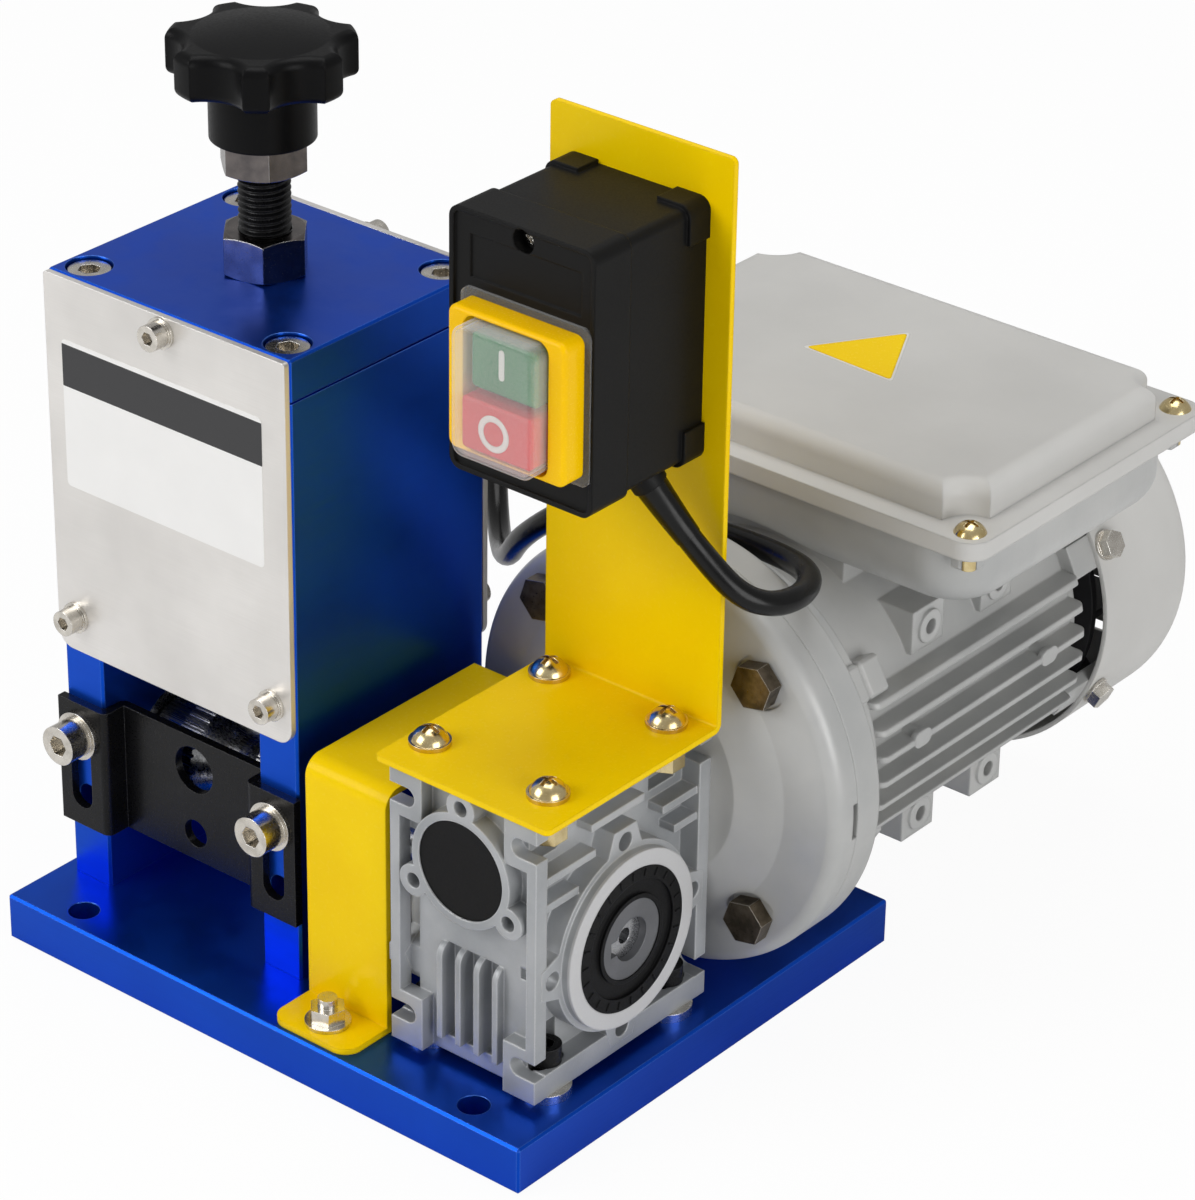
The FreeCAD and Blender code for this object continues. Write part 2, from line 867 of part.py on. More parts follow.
def make_guide_plate():
    half = guide_width / 2
    left = head_centre_x - half
    right = head_centre_x + half
    back = head_front
    front = back - guide_thickness
    web_left = inner_left + face_gap
    web_right = inner_right - face_gap
    panel_front = front + guide_recess
    t = guide_thickness
    panel_back = panel_front + t
    outline = [
        (left, front), (web_left + t, front), (web_left + t, panel_front),
        (web_right - t, panel_front), (web_right - t, front), (right, front),
        (right, back), (web_right, back), (web_right, panel_back),
        (web_left, panel_back), (web_left, back), (left, back),
    ]
    points = [Vector(x, y, guide_bottom) for x, y in outline]
    face = Part.Face(Part.makePolygon(points + [points[0]]))
    plate = face.extrude(Vector(0, 0, guide_height))
    bends = ((web_left + t, front), (web_right - t, front), (web_left, panel_back), (web_right, panel_back))
    for x, y in bends:
        plate = round_along(plate, Z_AXIS, guide_bend_radius, (x, y, guide_bottom), (x, y, guide_top))
    tools = []
    for x in leg_xs:
        w = guide_slot_width
        slot = box(x - w / 2, front, slot_bottom, x + w / 2, back, slot_bottom + guide_slot_length)
        tools.append(round_along(slot, Y_AXIS, w / 2 - 0.01))
    for height, diameter in ((guide_large_height, guide_large_hole), (guide_small_height, guide_small_hole)):
        tools.append(rod_y(head_centre_x, panel_front, guide_bottom + height, diameter, t))
    return cut(plate, tools)


def make_guide_screws():
    parts = []
    for x in leg_xs:
        face = head_front - guide_thickness
        start = Vector(x, face - guide_washer_thickness, guide_screw_z)
        hole = guide_screw_diameter + clearance_hole_play / 2
        washer = ring(Y_AXIS, x, start.y, start.z, guide_washer_diameter, hole, guide_washer_thickness)
        screw = socket_screw(Y_AXIS, start, guide_screw_diameter, guide_screw_length)
        parts.append(washer.fuse(screw))
    return Part.makeCompound(parts)


# Carriage, blade and adjuster

def make_guide_rails():
    rails = []
    top = lid_bottom - rail_top_gap
    for is_right in (False, True):
        x0 = inner_right - rail_thickness if is_right else inner_left
        y0 = head_centre_y - rail_width / 2
        rail = box(x0, y0, top - rail_length, x0 + rail_thickness, y0 + rail_width, top)
        rail = chamfer_all(rail, face_gap)
        outward = X_AXIS if is_right else X_AXIS * -1
        head = socket_head(retainer_screw_diameter)
        inner_face = x0 if is_right else x0 + rail_thickness
        for z in rail_screw_zs():
            size = retainer_screw_diameter
            rail = rail.cut(rod(outward, inner_face, head_centre_y, z, head + 2 * tapped_fit, size))
            seat = Vector(inner_face, head_centre_y, z) + outward * size
            length = rail_thickness - size + rail_screw_reach()
            rail = rail.fuse(socket_screw(outward, seat, size, length))
        rails.append(rail)
    return Part.makeCompound(rails)


def make_blade_carriage():
    x0 = inner_left + carriage_side_gap
    x1 = inner_right - carriage_side_gap
    y0 = head_centre_y - carriage_depth / 2
    y1 = head_centre_y + carriage_depth / 2
    block = box(x0, y0, carriage_bottom, x1, y1, carriage_top)
    block = chamfer_all(block, head_chamfer)
    groove = rail_width / 2 + rail_fit
    low_y = head_centre_y - groove
    high_y = head_centre_y + groove
    rail_reach = rail_thickness + rail_fit
    tools = []
    for start, end in ((x0, inner_left + rail_reach), (inner_right - rail_reach, x1)):
        tools.append(box(start, low_y, carriage_bottom, end, high_y, carriage_top))
    half_slot = carriage_slot_width / 2
    slot_top = blade_z + blade_radius - blade_radius / 4
    tools.append(box(head_centre_x - half_slot, y0, carriage_bottom, head_centre_x + half_slot, y1, slot_top))
    pin_fit = blade_pin_diameter + 2 * running_fit
    tools.append(rod_x(x0, gearbox_y, blade_z, pin_fit, x1 - x0))
    pocket = collar_diameter + 2 * face_gap
    tools.append(rod_z(head_centre_x, head_centre_y, collar_bottom - face_gap, pocket, carriage_top))
    for x, y in retainer_screw_points():
        depth = 3 * retainer_screw_diameter
        tools.append(rod_z(x, y, carriage_top - depth, retainer_screw_diameter + 2 * tapped_fit, depth))
    clear = blade_diameter + 4 * face_gap
    tools.append(rod_x(head_centre_x - half_slot, gearbox_y, blade_z, clear, carriage_slot_width))
    return cut(block, tools)


def make_slitting_blade():
    half = blade_thickness / 2
    hub = half + blade_thickness
    bore = blade_pin_diameter / 2 + running_fit
    land = blade_radius - blade_bevel
    hub_radius = blade_pin_diameter
    points = [
        (-hub, bore), (-hub, hub_radius), (-half, hub_radius), (-half, land),
        (0, blade_radius), (half, land), (half, hub_radius), (hub, hub_radius), (hub, bore),
    ]
    return revolve(points, Vector(head_centre_x, gearbox_y, blade_z), X_AXIS, Z_AXIS)


def make_blade_pin():
    x0 = inner_left + rail_thickness + rail_fit + blade_pin_inset
    x1 = inner_right - rail_thickness - rail_fit - blade_pin_inset
    pin = rod_x(x0, gearbox_y, blade_z, blade_pin_diameter, x1 - x0)
    return chamfer_all(pin, face_gap)


def retainer_screw_points():
    half = retainer_screw_spacing / 2
    return [(head_centre_x + i * half, head_centre_y + j * half) for i in (-1, 1) for j in (-1, 1)]


def make_screw_retainer():
    half = retainer_size / 2
    plate = rounded_box(
        head_centre_x - half, head_centre_y - half, carriage_top,
        head_centre_x + half, head_centre_y + half, retainer_top, retainer_screw_diameter,
    )
    hole = screw_diameter + 4 * face_gap
    plate = plate.cut(rod_z(head_centre_x, head_centre_y, carriage_top, hole, retainer_thickness))
    pocket = socket_head(retainer_screw_diameter)
    for x, y in retainer_screw_points():
        top = retainer_top - retainer_screw_diameter
        plate = plate.cut(rod_z(x, y, top, pocket + 2 * tapped_fit, retainer_screw_diameter))
        seat = Vector(x, y, top)
        length = 3 * retainer_screw_diameter
        plate = plate.fuse(socket_screw(Z_AXIS * -1, seat, retainer_screw_diameter, length))
    return plate


def make_adjusting_screw():
    collar = rod_z(head_centre_x, head_centre_y, collar_bottom, collar_diameter, collar_thickness)
    top = knob_bottom + knob_rim_height / 2
    shank = rod_z(head_centre_x, head_centre_y, collar_bottom, screw_diameter, top - collar_bottom)
    return fuse([collar, shank])


def make_adjusting_knob():
    base = Vector(head_centre_x, head_centre_y, 0)
    rim = rod_z(base.x, base.y, knob_bottom, knob_diameter, knob_rim_height)
    cutters = []
    reach = knob_diameter / 2 - knob_lobe_cut_depth + knob_lobe_cut_radius
    for index in range(knob_lobes):
        angle = math.radians(knob_lobe_turn + 360.0 * index / knob_lobes)
        x = base.x + reach * math.cos(angle)
        y = base.y + reach * math.sin(angle)
        cutters.append(rod_z(x, y, knob_bottom, 2 * knob_lobe_cut_radius, knob_rim_height))
    rim = cut(rim, cutters)
    round_edges = [edge for edge in rim.Edges if abs(edge.BoundBox.ZLength) < 1e-6]
    rim = rim.makeFillet(knob_edge_radius, round_edges)
    dome_radius = knob_dome_diameter / 2
    ball_radius = (dome_radius ** 2 + knob_dome_height ** 2) / (2 * knob_dome_height)
    rim_top = knob_bottom + knob_rim_height
    ball = Part.makeSphere(ball_radius, Vector(base.x, base.y, rim_top + knob_dome_height - ball_radius))
    dome = ball.common(rod_z(base.x, base.y, rim_top, knob_dome_diameter, knob_dome_height))
    hub = rod_z(base.x, base.y, hub_bottom, knob_hub_diameter, knob_hub_height + knob_rim_height / 2)
    knob = fuse([rim, dome, hub])
    bore = screw_diameter + 2 * running_fit
    depth = knob_bottom + knob_rim_height / 2 - hub_bottom
    return knob.cut(rod_z(base.x, base.y, hub_bottom, bore, depth))


def make_nut_on_screw(bottom, height, turn):
    seat = Vector(head_centre_x, head_centre_y, bottom)
    solid = nut(Z_AXIS, seat, nut_across_flats, height, screw_diameter + 2 * running_fit, turn)
    corner = nut_across_flats / math.sqrt(3) + 1
    flat = nut_across_flats / 2
    run = nut_chamfer_run
    points = [(0, 0), (0, flat), (run, corner), (height - run, corner), (height, flat), (height, 0)]
    return solid.common(revolve(points, seat, Z_AXIS, X_AXIS))


def make_knob_nut():
    return make_nut_on_screw(hub_nut_bottom, hub_nut_height, hub_nut_turn)


def make_jam_nut():
    return make_nut_on_screw(head_top, jam_nut_height, jam_nut_turn)


# Gearbox

def output_tap_points(turn=0.0, circle=output_pitch_circle):
    reach = circle / 2
    angles = [math.radians(turn + 90 * quarter) for quarter in range(4)]
    return [(gearbox_y + reach * math.cos(angle), output_z + reach * math.sin(angle)) for angle in angles]


def hub_outline(x, length, turn=0.0, circle=output_pitch_circle):
    # a round hub with four keystone lugs that carry the tapped holes
    shapes = [rod_x(x, gearbox_y, output_z, hub_diameter, length)]
    end = circle / 2 + output_lug_end
    wide = output_lug_wide / 2
    narrow = output_lug_narrow / 2
    for quarter in range(4):
        outline = [(0, -wide), (hub_diameter / 2 - 2, -wide), (end, -narrow), (end, narrow),
                   (hub_diameter / 2 - 2, wide), (0, wide)]
        points = [Vector(0, along, across) for along, across in outline]
        lug = Part.Face(Part.makePolygon(points + [points[0]])).extrude(X_AXIS * length)
        lug.rotate(Vector(0, 0, 0), X_AXIS, turn + 90 * quarter)
        lug.translate(Vector(x, gearbox_y, output_z))
        shapes.append(lug)
    return fuse(shapes)


def gearbox_shelf(z, y0, y1):
    half = gearbox_width / 2 - plug_recess
    thick = gearbox_shelf_thickness
    shelf = box(gearbox_x - half, y0, z - thick, gearbox_x + half, y1, z)
    return shelf


def gearbox_shell():
    g = gearbox_x
    wall = gearbox_width / 2 - gearbox_wall_inset
    shapes = [box(g - wall, gearbox_front, foot_z, g + wall, gearbox_back, gearbox_top)]
    shapes.append(box(gearbox_left, gearbox_front, foot_z, gearbox_right, gearbox_back, gearbox_foot_top))
    shapes.append(box(gearbox_left, gearbox_front, gearbox_top_low, gearbox_right, gearbox_back, gearbox_top))
    for y0 in (gearbox_front, gearbox_back - gearbox_post):
        shapes.append(box(gearbox_left, y0, foot_z, gearbox_right, y0 + gearbox_post, gearbox_top))
    for height, reach in gearbox_shelves:
        shapes.append(gearbox_shelf(foot_z + height, gearbox_front, gearbox_front + reach))
        shapes.append(gearbox_shelf(foot_z + height, gearbox_back - 0.75 * reach, gearbox_back))
    height, start, length = gearbox_rear_shelf
    shapes.append(gearbox_shelf(foot_z + height, gearbox_front + start, gearbox_front + start + length))
    return fuse(shapes)


def side_slots():
    # slots open to both sides through the front and rear corner blocks
    slots = []
    half = gearbox_slot_width / 2
    top = gearbox_top - gearbox_block_height + gearbox_slot_bar
    bottom = foot_z + gearbox_block_height - gearbox_slot_bar - gearbox_slot_width
    for y0 in (gearbox_front, gearbox_back - gearbox_post):
        for z0 in (top, bottom):
            for face, direction in ((gearbox_left, 1), (gearbox_right, -1)):
                inner = face + direction * (gearbox_slot_depth - half)
                x0, x1 = sorted((face, inner))
                slots.append(box(x0, y0, z0, x1, y0 + gearbox_post, z0 + gearbox_slot_width))
                slots.append(rod_y(inner, y0, z0 + half, gearbox_slot_width, gearbox_post))
    return slots


def front_recess():
    g = gearbox_x
    half = gearbox_width / 2 - gearbox_rim_width
    back = gearbox_front + front_recess_depth
    panel = box(g - half, gearbox_front, foot_z, g + half, back, gearbox_top)
    blocks = []
    for x0 in (gearbox_left, gearbox_right - gearbox_block_width):
        for z0 in (foot_z, gearbox_top - gearbox_block_height):
            x1 = x0 + gearbox_block_width
            blocks.append(box(x0, gearbox_front, z0, x1, back, z0 + gearbox_block_height))
    pocket = front_fin_pitch * (front_fin_count - 1) / 2
    low = gearbox_foot_top - front_fin_setback
    high = foot_z + front_fin_top
    deep = box(g - pocket, gearbox_front, low, g + pocket, gearbox_front + front_fin_pocket, high)
    return panel.cut(Part.makeCompound(blocks)).fuse(deep)


def front_screw_places():
    places = []
    for angle in (90, 210, 330):
        x = gearbox_x + front_screw_circle / 2 * math.cos(math.radians(angle))
        z = worm_z + front_screw_circle / 2 * math.sin(math.radians(angle))
        places.append((x, z))
    return places


def front_ribs():
    # the plug's ring with its three screw lobes, and four upright fins below it
    g = gearbox_x
    face = gearbox_front - plug_recess
    reach = front_recess_depth + plug_recess
    shapes = [rod_y(g, face, worm_z, 2 * plug_ring_radius, reach)]
    for x, z in front_screw_places():
        shapes.append(rod_y(x, face, z, front_lobe_diameter, reach))
    front = gearbox_front + front_fin_setback
    back = gearbox_front + front_fin_pocket
    low = gearbox_foot_top - front_fin_setback
    for index in range(front_fin_count):
        x = g + (index - (front_fin_count - 1) / 2) * front_fin_pitch - front_fin_thickness / 2
        fin = box(x, front, low, x + front_fin_thickness, back, foot_z + front_fin_top)
        corner = (-FAR, front, foot_z + front_fin_top)
        shapes.append(round_along(fin, X_AXIS, front_fin_round, corner, (FAR, front, FAR)))
    return shapes


def gearbox_bolt_pockets():
    pockets = []
    head = gearbox_bolt_room()
    room = 2 * gearbox_bolt_diameter
    top = gearbox_top_low
    for x, y in gearbox_bolt_points():
        pockets.append(box(x - head, y - head, gearbox_foot_top, x + head, y + head, gearbox_foot_top + room))
    for x, y in bracket_screw_points():
        pockets.append(box(x - head, y - head, top - room, x + head, y + head, top))
    return pockets


def gearbox_bolt_room():
    return bracket_nut_flats / math.sqrt(3) + face_gap


def make_gearbox_housing():
    g = gearbox_x
    y = gearbox_y
    z = output_z
    turn = side_cover_screw_turn
    body = gearbox_shell()
    circle = side_cover_circle
    hubs = [hub_outline(g, hub_face), hub_outline(side_cover_seat, g - side_cover_seat, turn, circle)]
    body = fuse([body] + hubs + [rod_x(g, y, z, spigot_diameter, spigot_reach)])
    seat = hub_outline(g - hub_face, hub_face - g + side_cover_seat, turn, circle)
    body = cut(body, gearbox_bolt_pockets() + side_slots() + [seat, front_recess()])
    body = fuse([body] + front_ribs())
    cavity = g + wheel_cavity_half - side_cover_seat
    bearing_room = output_bearing_outer + 2 * tapped_fit
    worm_front_depth = plug_recess / 2 + plug_thickness + worm_front_width
    rear = gearbox_back - worm_rear_width
    tools = [
        rod_x(side_cover_seat, y, z, 2 * wheel_cavity_radius, cavity),
        rod_x(g, y, z, bearing_room, spigot_reach),
        rod_y(g, gearbox_front, worm_z, 2 * worm_chamber_radius, gearbox_depth),
        rod_y(g, gearbox_front - plug_recess, worm_z, plug_diameter + 2 * tapped_fit, plug_recess),
        rod_y(g, gearbox_front, worm_z, plug_diameter + 2 * tapped_fit, worm_front_depth),
        rod_y(g, rear, worm_z, worm_rear_outer + 2 * tapped_fit, worm_rear_width),
    ]
    tap = output_tap_diameter + 2 * tapped_fit
    for ty, tz in output_tap_points():
        tools.append(rod_x(g + hub_face - output_tap_depth, ty, tz, tap, output_tap_depth))
    for ty, tz in output_tap_points(turn, circle):
        tools.append(rod_x(side_cover_seat, ty, tz, tap, output_tap_depth))
    for x, tz in front_screw_places():
        tools.append(rod_y(x, gearbox_front - plug_recess, tz, front_screw_hole, front_screw_depth))
    return cut(body, tools + gearbox_bolt_slots()).removeSplitter()


def gearbox_bolt_slots():
    slots = []
    through = gearbox_bolt_diameter + clearance_hole_play
    half = through / 2
    for x, y in gearbox_bolt_points():
        for z0, height in ((foot_z, gearbox_foot_thickness), (gearbox_top_low, gearbox_top_foot)):
            hole = box(x - half, y - through, z0, x + half, y + through, z0 + height)
            slots.append(round_along(hole, Z_AXIS, half - 0.01))
    return slots


def make_gearbox_side_cover():
    g = gearbox_x
    plate = side_cover_thickness + face_gap
    x0 = g - hub_face
    outer = g - spigot_reach
    cover = hub_outline(x0, plate, side_cover_screw_turn, side_cover_circle)
    cover = cover.fuse(rod_x(outer, gearbox_y, output_z, spigot_diameter, x0 + plate - outer))
    plug = 2 * wheel_cavity_radius - 2 * tapped_fit
    cover = cover.fuse(rod_x(x0, gearbox_y, output_z, plug, hub_face - wheel_cavity_half))
    hole = output_tap_diameter + clearance_hole_play
    tools = [rod_x(outer, gearbox_y, output_z, output_bearing_outer + 2 * tapped_fit, spigot_reach)]
    screws = []
    reach = plate + output_tap_depth - screw_tip_gap
    head = 0.6 * output_tap_diameter
    for y, z in output_tap_points(side_cover_screw_turn, side_cover_circle):
        tools.append(rod_x(x0, y, z, hole, plate))
        screws.append(hex_bolt(X_AXIS, Vector(x0, y, z), output_tap_diameter, reach, bracket_nut_flats, head))
    return Part.makeCompound([cut(cover, tools).removeSplitter()] + screws)


def closing_cap():
    return rod_y(gearbox_x, plug_face, worm_z, plug_diameter, plug_thickness)


def make_drive_bearings():
    g = Vector(gearbox_x, gearbox_y, output_z)
    units = []
    for direction in (1, -1):
        axis = X_AXIS * direction
        start = g + axis * bearing_start
        units.append(bearing(axis, start, output_bearing_outer, quill_diameter, output_bearing_width))
    start = Vector(gearbox_x, worm_bearing_start, worm_z)
    units.append(bearing(Y_AXIS, start, worm_front_outer, worm_front_journal, worm_front_width))
    start = Vector(gearbox_x, gearbox_back - worm_rear_width, worm_z)
    units.append(bearing(Y_AXIS, start, worm_rear_outer, worm_rear_journal, worm_rear_width))
    for face, direction in ((inner_right, 1), (inner_left, -1)):
        start = Vector(face, gearbox_y, output_z)
        axis = X_AXIS * direction
        units.append(bearing(axis, start, head_bearing_outer, feed_shaft_diameter, head_bearing_width))
    return Part.makeCompound(units)


def make_gearbox_seals():
    g = Vector(gearbox_x, gearbox_y, output_z)
    seals = [closing_cap()]
    inner = quill_diameter + 2 * running_fit
    lip_inner = quill_diameter + 2 * output_lip_gap
    for direction in (1, -1):
        axis = X_AXIS * direction
        start = g + axis * seal_start
        seal = ring(axis, start.x, start.y, start.z, output_bearing_outer, inner, output_seal_width)
        face = start + axis * (output_seal_width - plug_recess)
        seals.append(seal.cut(ring(axis, face.x, face.y, face.z, output_lip_outer, lip_inner, plug_recess)))
    inner = worm_rear_journal + 2 * running_fit
    seals.append(ring(Y_AXIS, gearbox_x, gearbox_back, worm_z, worm_seal_outer, inner, worm_seal_width))
    return Part.makeCompound(seals)


def make_worm_wheel_hub():
    g = gearbox_x
    core = rod_x(g - wheel_width / 2, gearbox_y, output_z, 2 * wheel_seat_radius, wheel_width)
    collar_half = bearing_start - face_gap
    collar = rod_x(g - collar_half, gearbox_y, output_z, quill_diameter + 2 * collar_land, 2 * collar_half)
    quill_half = spigot_reach - face_gap
    quill = rod_x(g - quill_half, gearbox_y, output_z, quill_diameter, 2 * quill_half)
    hub = fuse([core, collar, quill])
    bore = quill_bore + 2 * running_fit
    hub = hub.cut(rod_x(g - quill_half, gearbox_y, output_z, bore, 2 * quill_half))
    half_key = key_width / 2 + running_fit
    depth = quill_bore / 2 + key_rise
    low_z = output_z - half_key
    high_z = output_z + half_key
    return hub.cut(box(g - quill_half, gearbox_y - depth, low_z, g + quill_half, gearbox_y, high_z))


def make_worm_wheel_rim():
    half = wheel_width / 2
    throat = worm_outer_diameter / 2 + face_gap
    points = [(-half, wheel_seat_radius), (-half, wheel_rim_radius)]
    limit = math.sqrt(throat ** 2 - (centre_distance - wheel_rim_radius) ** 2)
    steps = 12
    for step in range(steps + 1):
        along = -limit + 2 * limit * step / steps
        points.append((along, centre_distance - math.sqrt(throat ** 2 - along ** 2)))
    points += [(half, wheel_rim_radius), (half, wheel_seat_radius)]
    centre = Vector(gearbox_x, gearbox_y, output_z)
    rim = revolve(points, centre, X_AXIS, Z_AXIS)
    gaps = []
    worm_middle = (worm_outer_diameter + worm_root_diameter) / 2
    lead = math.degrees(math.atan(worm_thread_pitch / (math.pi * worm_middle)))
    for index in range(wheel_teeth):
        w = wheel_tooth_gap
        gap = box(-wheel_width, -w / 2, wheel_tooth_root, wheel_width, w / 2, 2 * wheel_rim_radius)
        gap.rotate(Vector(0, 0, 0), Z_AXIS, lead)
        gap.rotate(Vector(0, 0, 0), X_AXIS, 360.0 * index / wheel_teeth)
        gap.translate(centre)
        gaps.append(gap)
    return cut(rim, gaps)


def make_worm_shaft():
    x = gearbox_x
    start = worm_bearing_start
    thread_start = gearbox_y - worm_thread_length / 2
    thread_end = gearbox_y + worm_thread_length / 2
    rear_start = gearbox_back - worm_rear_width
    end = gearbox_back + worm_seal_width
    shoulder_start = start + worm_front_width + face_gap
    shapes = [
        rod_y(x, start, worm_z, worm_front_journal, thread_start - start),
        rod_y(x, shoulder_start, worm_z, worm_shoulder, thread_start - shoulder_start),
        rod_y(x, thread_start, worm_z, worm_root_diameter, worm_thread_length),
        rod_y(x, thread_end, worm_z, worm_shoulder, rear_start - thread_end),
        rod_y(x, rear_start, worm_z, worm_rear_journal, end - rear_start),
    ]
    root = worm_root_diameter / 2
    tip = worm_outer_diameter / 2
    wide = worm_tooth_base / 2
    narrow = worm_tooth_tip / 2
    count = int(worm_thread_length / worm_thread_pitch)
    first = gearbox_y - (count - 1) / 2 * worm_thread_pitch
    points = [(-wide, root - 1), (-wide, root), (-narrow, tip), (narrow, tip), (wide, root), (wide, root - 1)]
    for index in range(count):
        middle = Vector(x, first + index * worm_thread_pitch, worm_z)
        shapes.append(revolve(points, middle, Y_AXIS, X_AXIS))
    bore = worm_bore + 2 * running_fit
    return fuse(shapes).cut(rod_y(x, worm_socket_start, worm_z, bore, end - worm_socket_start))


def key_seat():
    # where the key's slot starts along X and how far its floor lies from the shaft's axis
    return gearbox_x - key_length / 2, output_shaft_diameter / 2 - key_width / 2


def make_output_shaft():
    start = inner_left - head_bearing_width + face_gap
    feed_end = inner_right + head_bearing_width
    end = gearbox_x + spigot_reach - shaft_end_recess
    shaft = rod_x(start, gearbox_y, output_z, feed_shaft_diameter, feed_end - start)
    shaft = shaft.fuse(rod_x(feed_end, gearbox_y, output_z, output_shaft_diameter, end - feed_end))
    key_start, depth = key_seat()
    half = key_width / 2
    y0 = gearbox_y - output_shaft_diameter / 2
    key_end = key_start + key_length
    slot = box(key_start, y0, output_z - half, key_end, gearbox_y - depth, output_z + half)
    centre_hole = rod_x(end - key_width, gearbox_y, output_z, key_width, key_width)
    return cut(shaft, [slot, centre_hole]).removeSplitter()


def make_shaft_key():
    key_start, depth = key_seat()
    half = key_width / 2
    outer = gearbox_y - quill_bore / 2 - key_rise + running_fit
    return box(key_start, outer, output_z - half, key_start + key_length, gearbox_y - depth, output_z + half)


def make_feed_roller():
    half = roller_width / 2
    hub_half = (inner_right - inner_left) / 2 - face_gap
    outer = roller_diameter / 2
    hub = roller_hub_diameter / 2
    bore = feed_shaft_diameter / 2 + running_fit / 2
    points = [(-hub_half, bore), (-hub_half, hub), (-half, hub), (-half, outer)]
    groove_half = roller_groove_width / 2
    root = roller_groove_diameter / 2
    steps = 12
    for step in range(steps + 1):
        along = -groove_half + 2 * groove_half * step / steps
        share = (along / groove_half) ** 2
        points.append((along, root + (outer - root) * share))
    points += [(half, outer), (half, hub), (hub_half, hub), (hub_half, bore)]
    centre = Vector(head_centre_x, gearbox_y, output_z)
    roller = revolve(points, centre, X_AXIS, Z_AXIS)
    cuts = []
    for index in range(knurl_count):
        angle = 2 * math.pi * index / knurl_count
        y = gearbox_y + (outer + knurl_depth / 4) * math.cos(angle)
        z = output_z + (outer + knurl_depth / 4) * math.sin(angle)
        cuts.append(rod_x(head_centre_x - half, y, z, 2 * knurl_depth, roller_width))
    return cut(roller, cuts)


def make_foot_spacers():
    rings = []
    hole = gearbox_bolt_diameter + clearance_hole_play
    for x, y in gearbox_bolt_points():
        rings.append(ring(Z_AXIS, x, y, base_thickness, foot_spacer_diameter, hole, foot_spacer_thickness))
    return Part.makeCompound(rings)


def make_gearbox_bolts():
    bolts = []
    for x, y in gearbox_bolt_points():
        seat = Vector(x, y, gearbox_foot_top)
        bolts.append(socket_screw(Z_AXIS * -1, seat, gearbox_bolt_diameter, gearbox_bolt_length))
    return Part.makeCompound(bolts)


# Shaft cover

def make_shaft_cover():
    x0 = cover_left
    x1 = cover_left + cover_width
    outer = box(x0, cover_front, base_thickness, x1, cover_back, cover_top)
    edge = (FAR, cover_front, cover_top)
    outer = round_along(outer, X_AXIS, cover_bend_radius, (-FAR, cover_front, cover_top), edge)
    t = cover_sheet
    inner = box(x0, cover_front + t, base_thickness, x1, cover_back, cover_top - t)
    low = (-FAR, cover_front + t, cover_top - t)
    inner = round_along(inner, X_AXIS, cover_bend_radius - t, low, (FAR, cover_front + t, cover_top - t))
    shell = outer.cut(inner)
    foot = rounded_foot(x0, x1, t)
    cover = shell.fuse(foot)
    hole = cover_stud_diameter + clearance_hole_play
    for x, y in cover_stud_points():
        cover = cover.cut(rod_z(x, y, base_thickness, hole, t))
    return cover.removeSplitter()


def rounded_foot(x0, x1, t):
    y0 = cover_front - cover_foot_reach
    foot = box(x0, y0, base_thickness, x1, cover_front + t, base_thickness + t)
    return round_along(foot, Z_AXIS, cover_bend_radius, (-FAR, y0, -FAR), (FAR, y0, FAR))


def make_cover_nuts():
    shapes = []
    for x, y in cover_stud_points():
        seat_z = base_thickness + cover_sheet
        flange = cover_nut_height * 0.22
        body = rod_z(x, y, seat_z, cover_nut_flats * 1.42, flange)
        body = body.fuse(prism(Z_AXIS, x, y, seat_z + flange, cover_nut_flats, cover_nut_height - flange, 15))
        stud_low = base_thickness / 2
        stud = rod_z(x, y, stud_low, cover_stud_diameter, seat_z + cover_nut_height + 3 - stud_low)
        shapes.append(fuse([body, stud]))
    return Part.makeCompound(shapes)


# Input flange and motor

def make_flange_adapter():
    rim = motor_flange_diameter / 2
    start = gearbox_back
    face = dish_depth - dish_rim_depth
    pilot = pilot_diameter / 2 + tapped_fit
    pilot_floor = dish_depth - pilot_depth - face_gap
    seal = worm_seal_outer / 2 + tapped_fit
    points = [
        (0, seal), (0, dish_neck_diameter / 2), (dish_waist_depth, dish_waist_diameter / 2), (face, rim),
        (dish_depth, rim), (dish_depth, pilot), (pilot_floor, pilot), (pilot_floor, pilot - dish_wall),
        (worm_seal_width, seal),
    ]
    dish = revolve(points, Vector(gearbox_x, start, worm_z), Y_AXIS, X_AXIS)
    edges = [edge for edge in circles_at_y(dish, start + face) if abs(edge.Curve.Radius - rim) < 1e-6]
    dish = dish.makeFillet(dish_edge_radius, edges)
    tools = []
    for x, z in flange_bolt_points():
        tools.append(rod_y(x, start, z, 1.35 * flange_bolt_flats, flange_seat_depth))
        tools.append(rod_y(x, start, z, flange_bolt_diameter + clearance_hole_play, dish_depth))
    slot_y = start + dish_depth - dish_slot_depth
    slot = box(gearbox_x, slot_y, worm_z - dish_wall, gearbox_x + 2 * rim, dish_plane, worm_z + dish_wall)
    keep = rod_y(gearbox_x, start, worm_z, 2 * (rim - dish_wall), dish_depth)
    tools.append(slot.cut(keep))
    return cut(dish, tools)


def flange_bolt_points():
    reach = flange_pitch_circle / 2
    angles = [math.radians(angle) for angle in (45, 135, 225, 315)]
    return [(gearbox_x + reach * math.cos(angle), worm_z + reach * math.sin(angle)) for angle in angles]


def make_flange_bolts():
    bolts = []
    seat = gearbox_back + flange_seat_depth
    length = motor_flange_back - seat
    head = (flange_bolt_flats, flange_bolt_head, flange_bolt_turn)
    for x, z in flange_bolt_points():
        bolts.append(hex_bolt(Y_AXIS, Vector(x, seat, z), flange_bolt_diameter, length, *head))
    return Part.makeCompound(bolts)


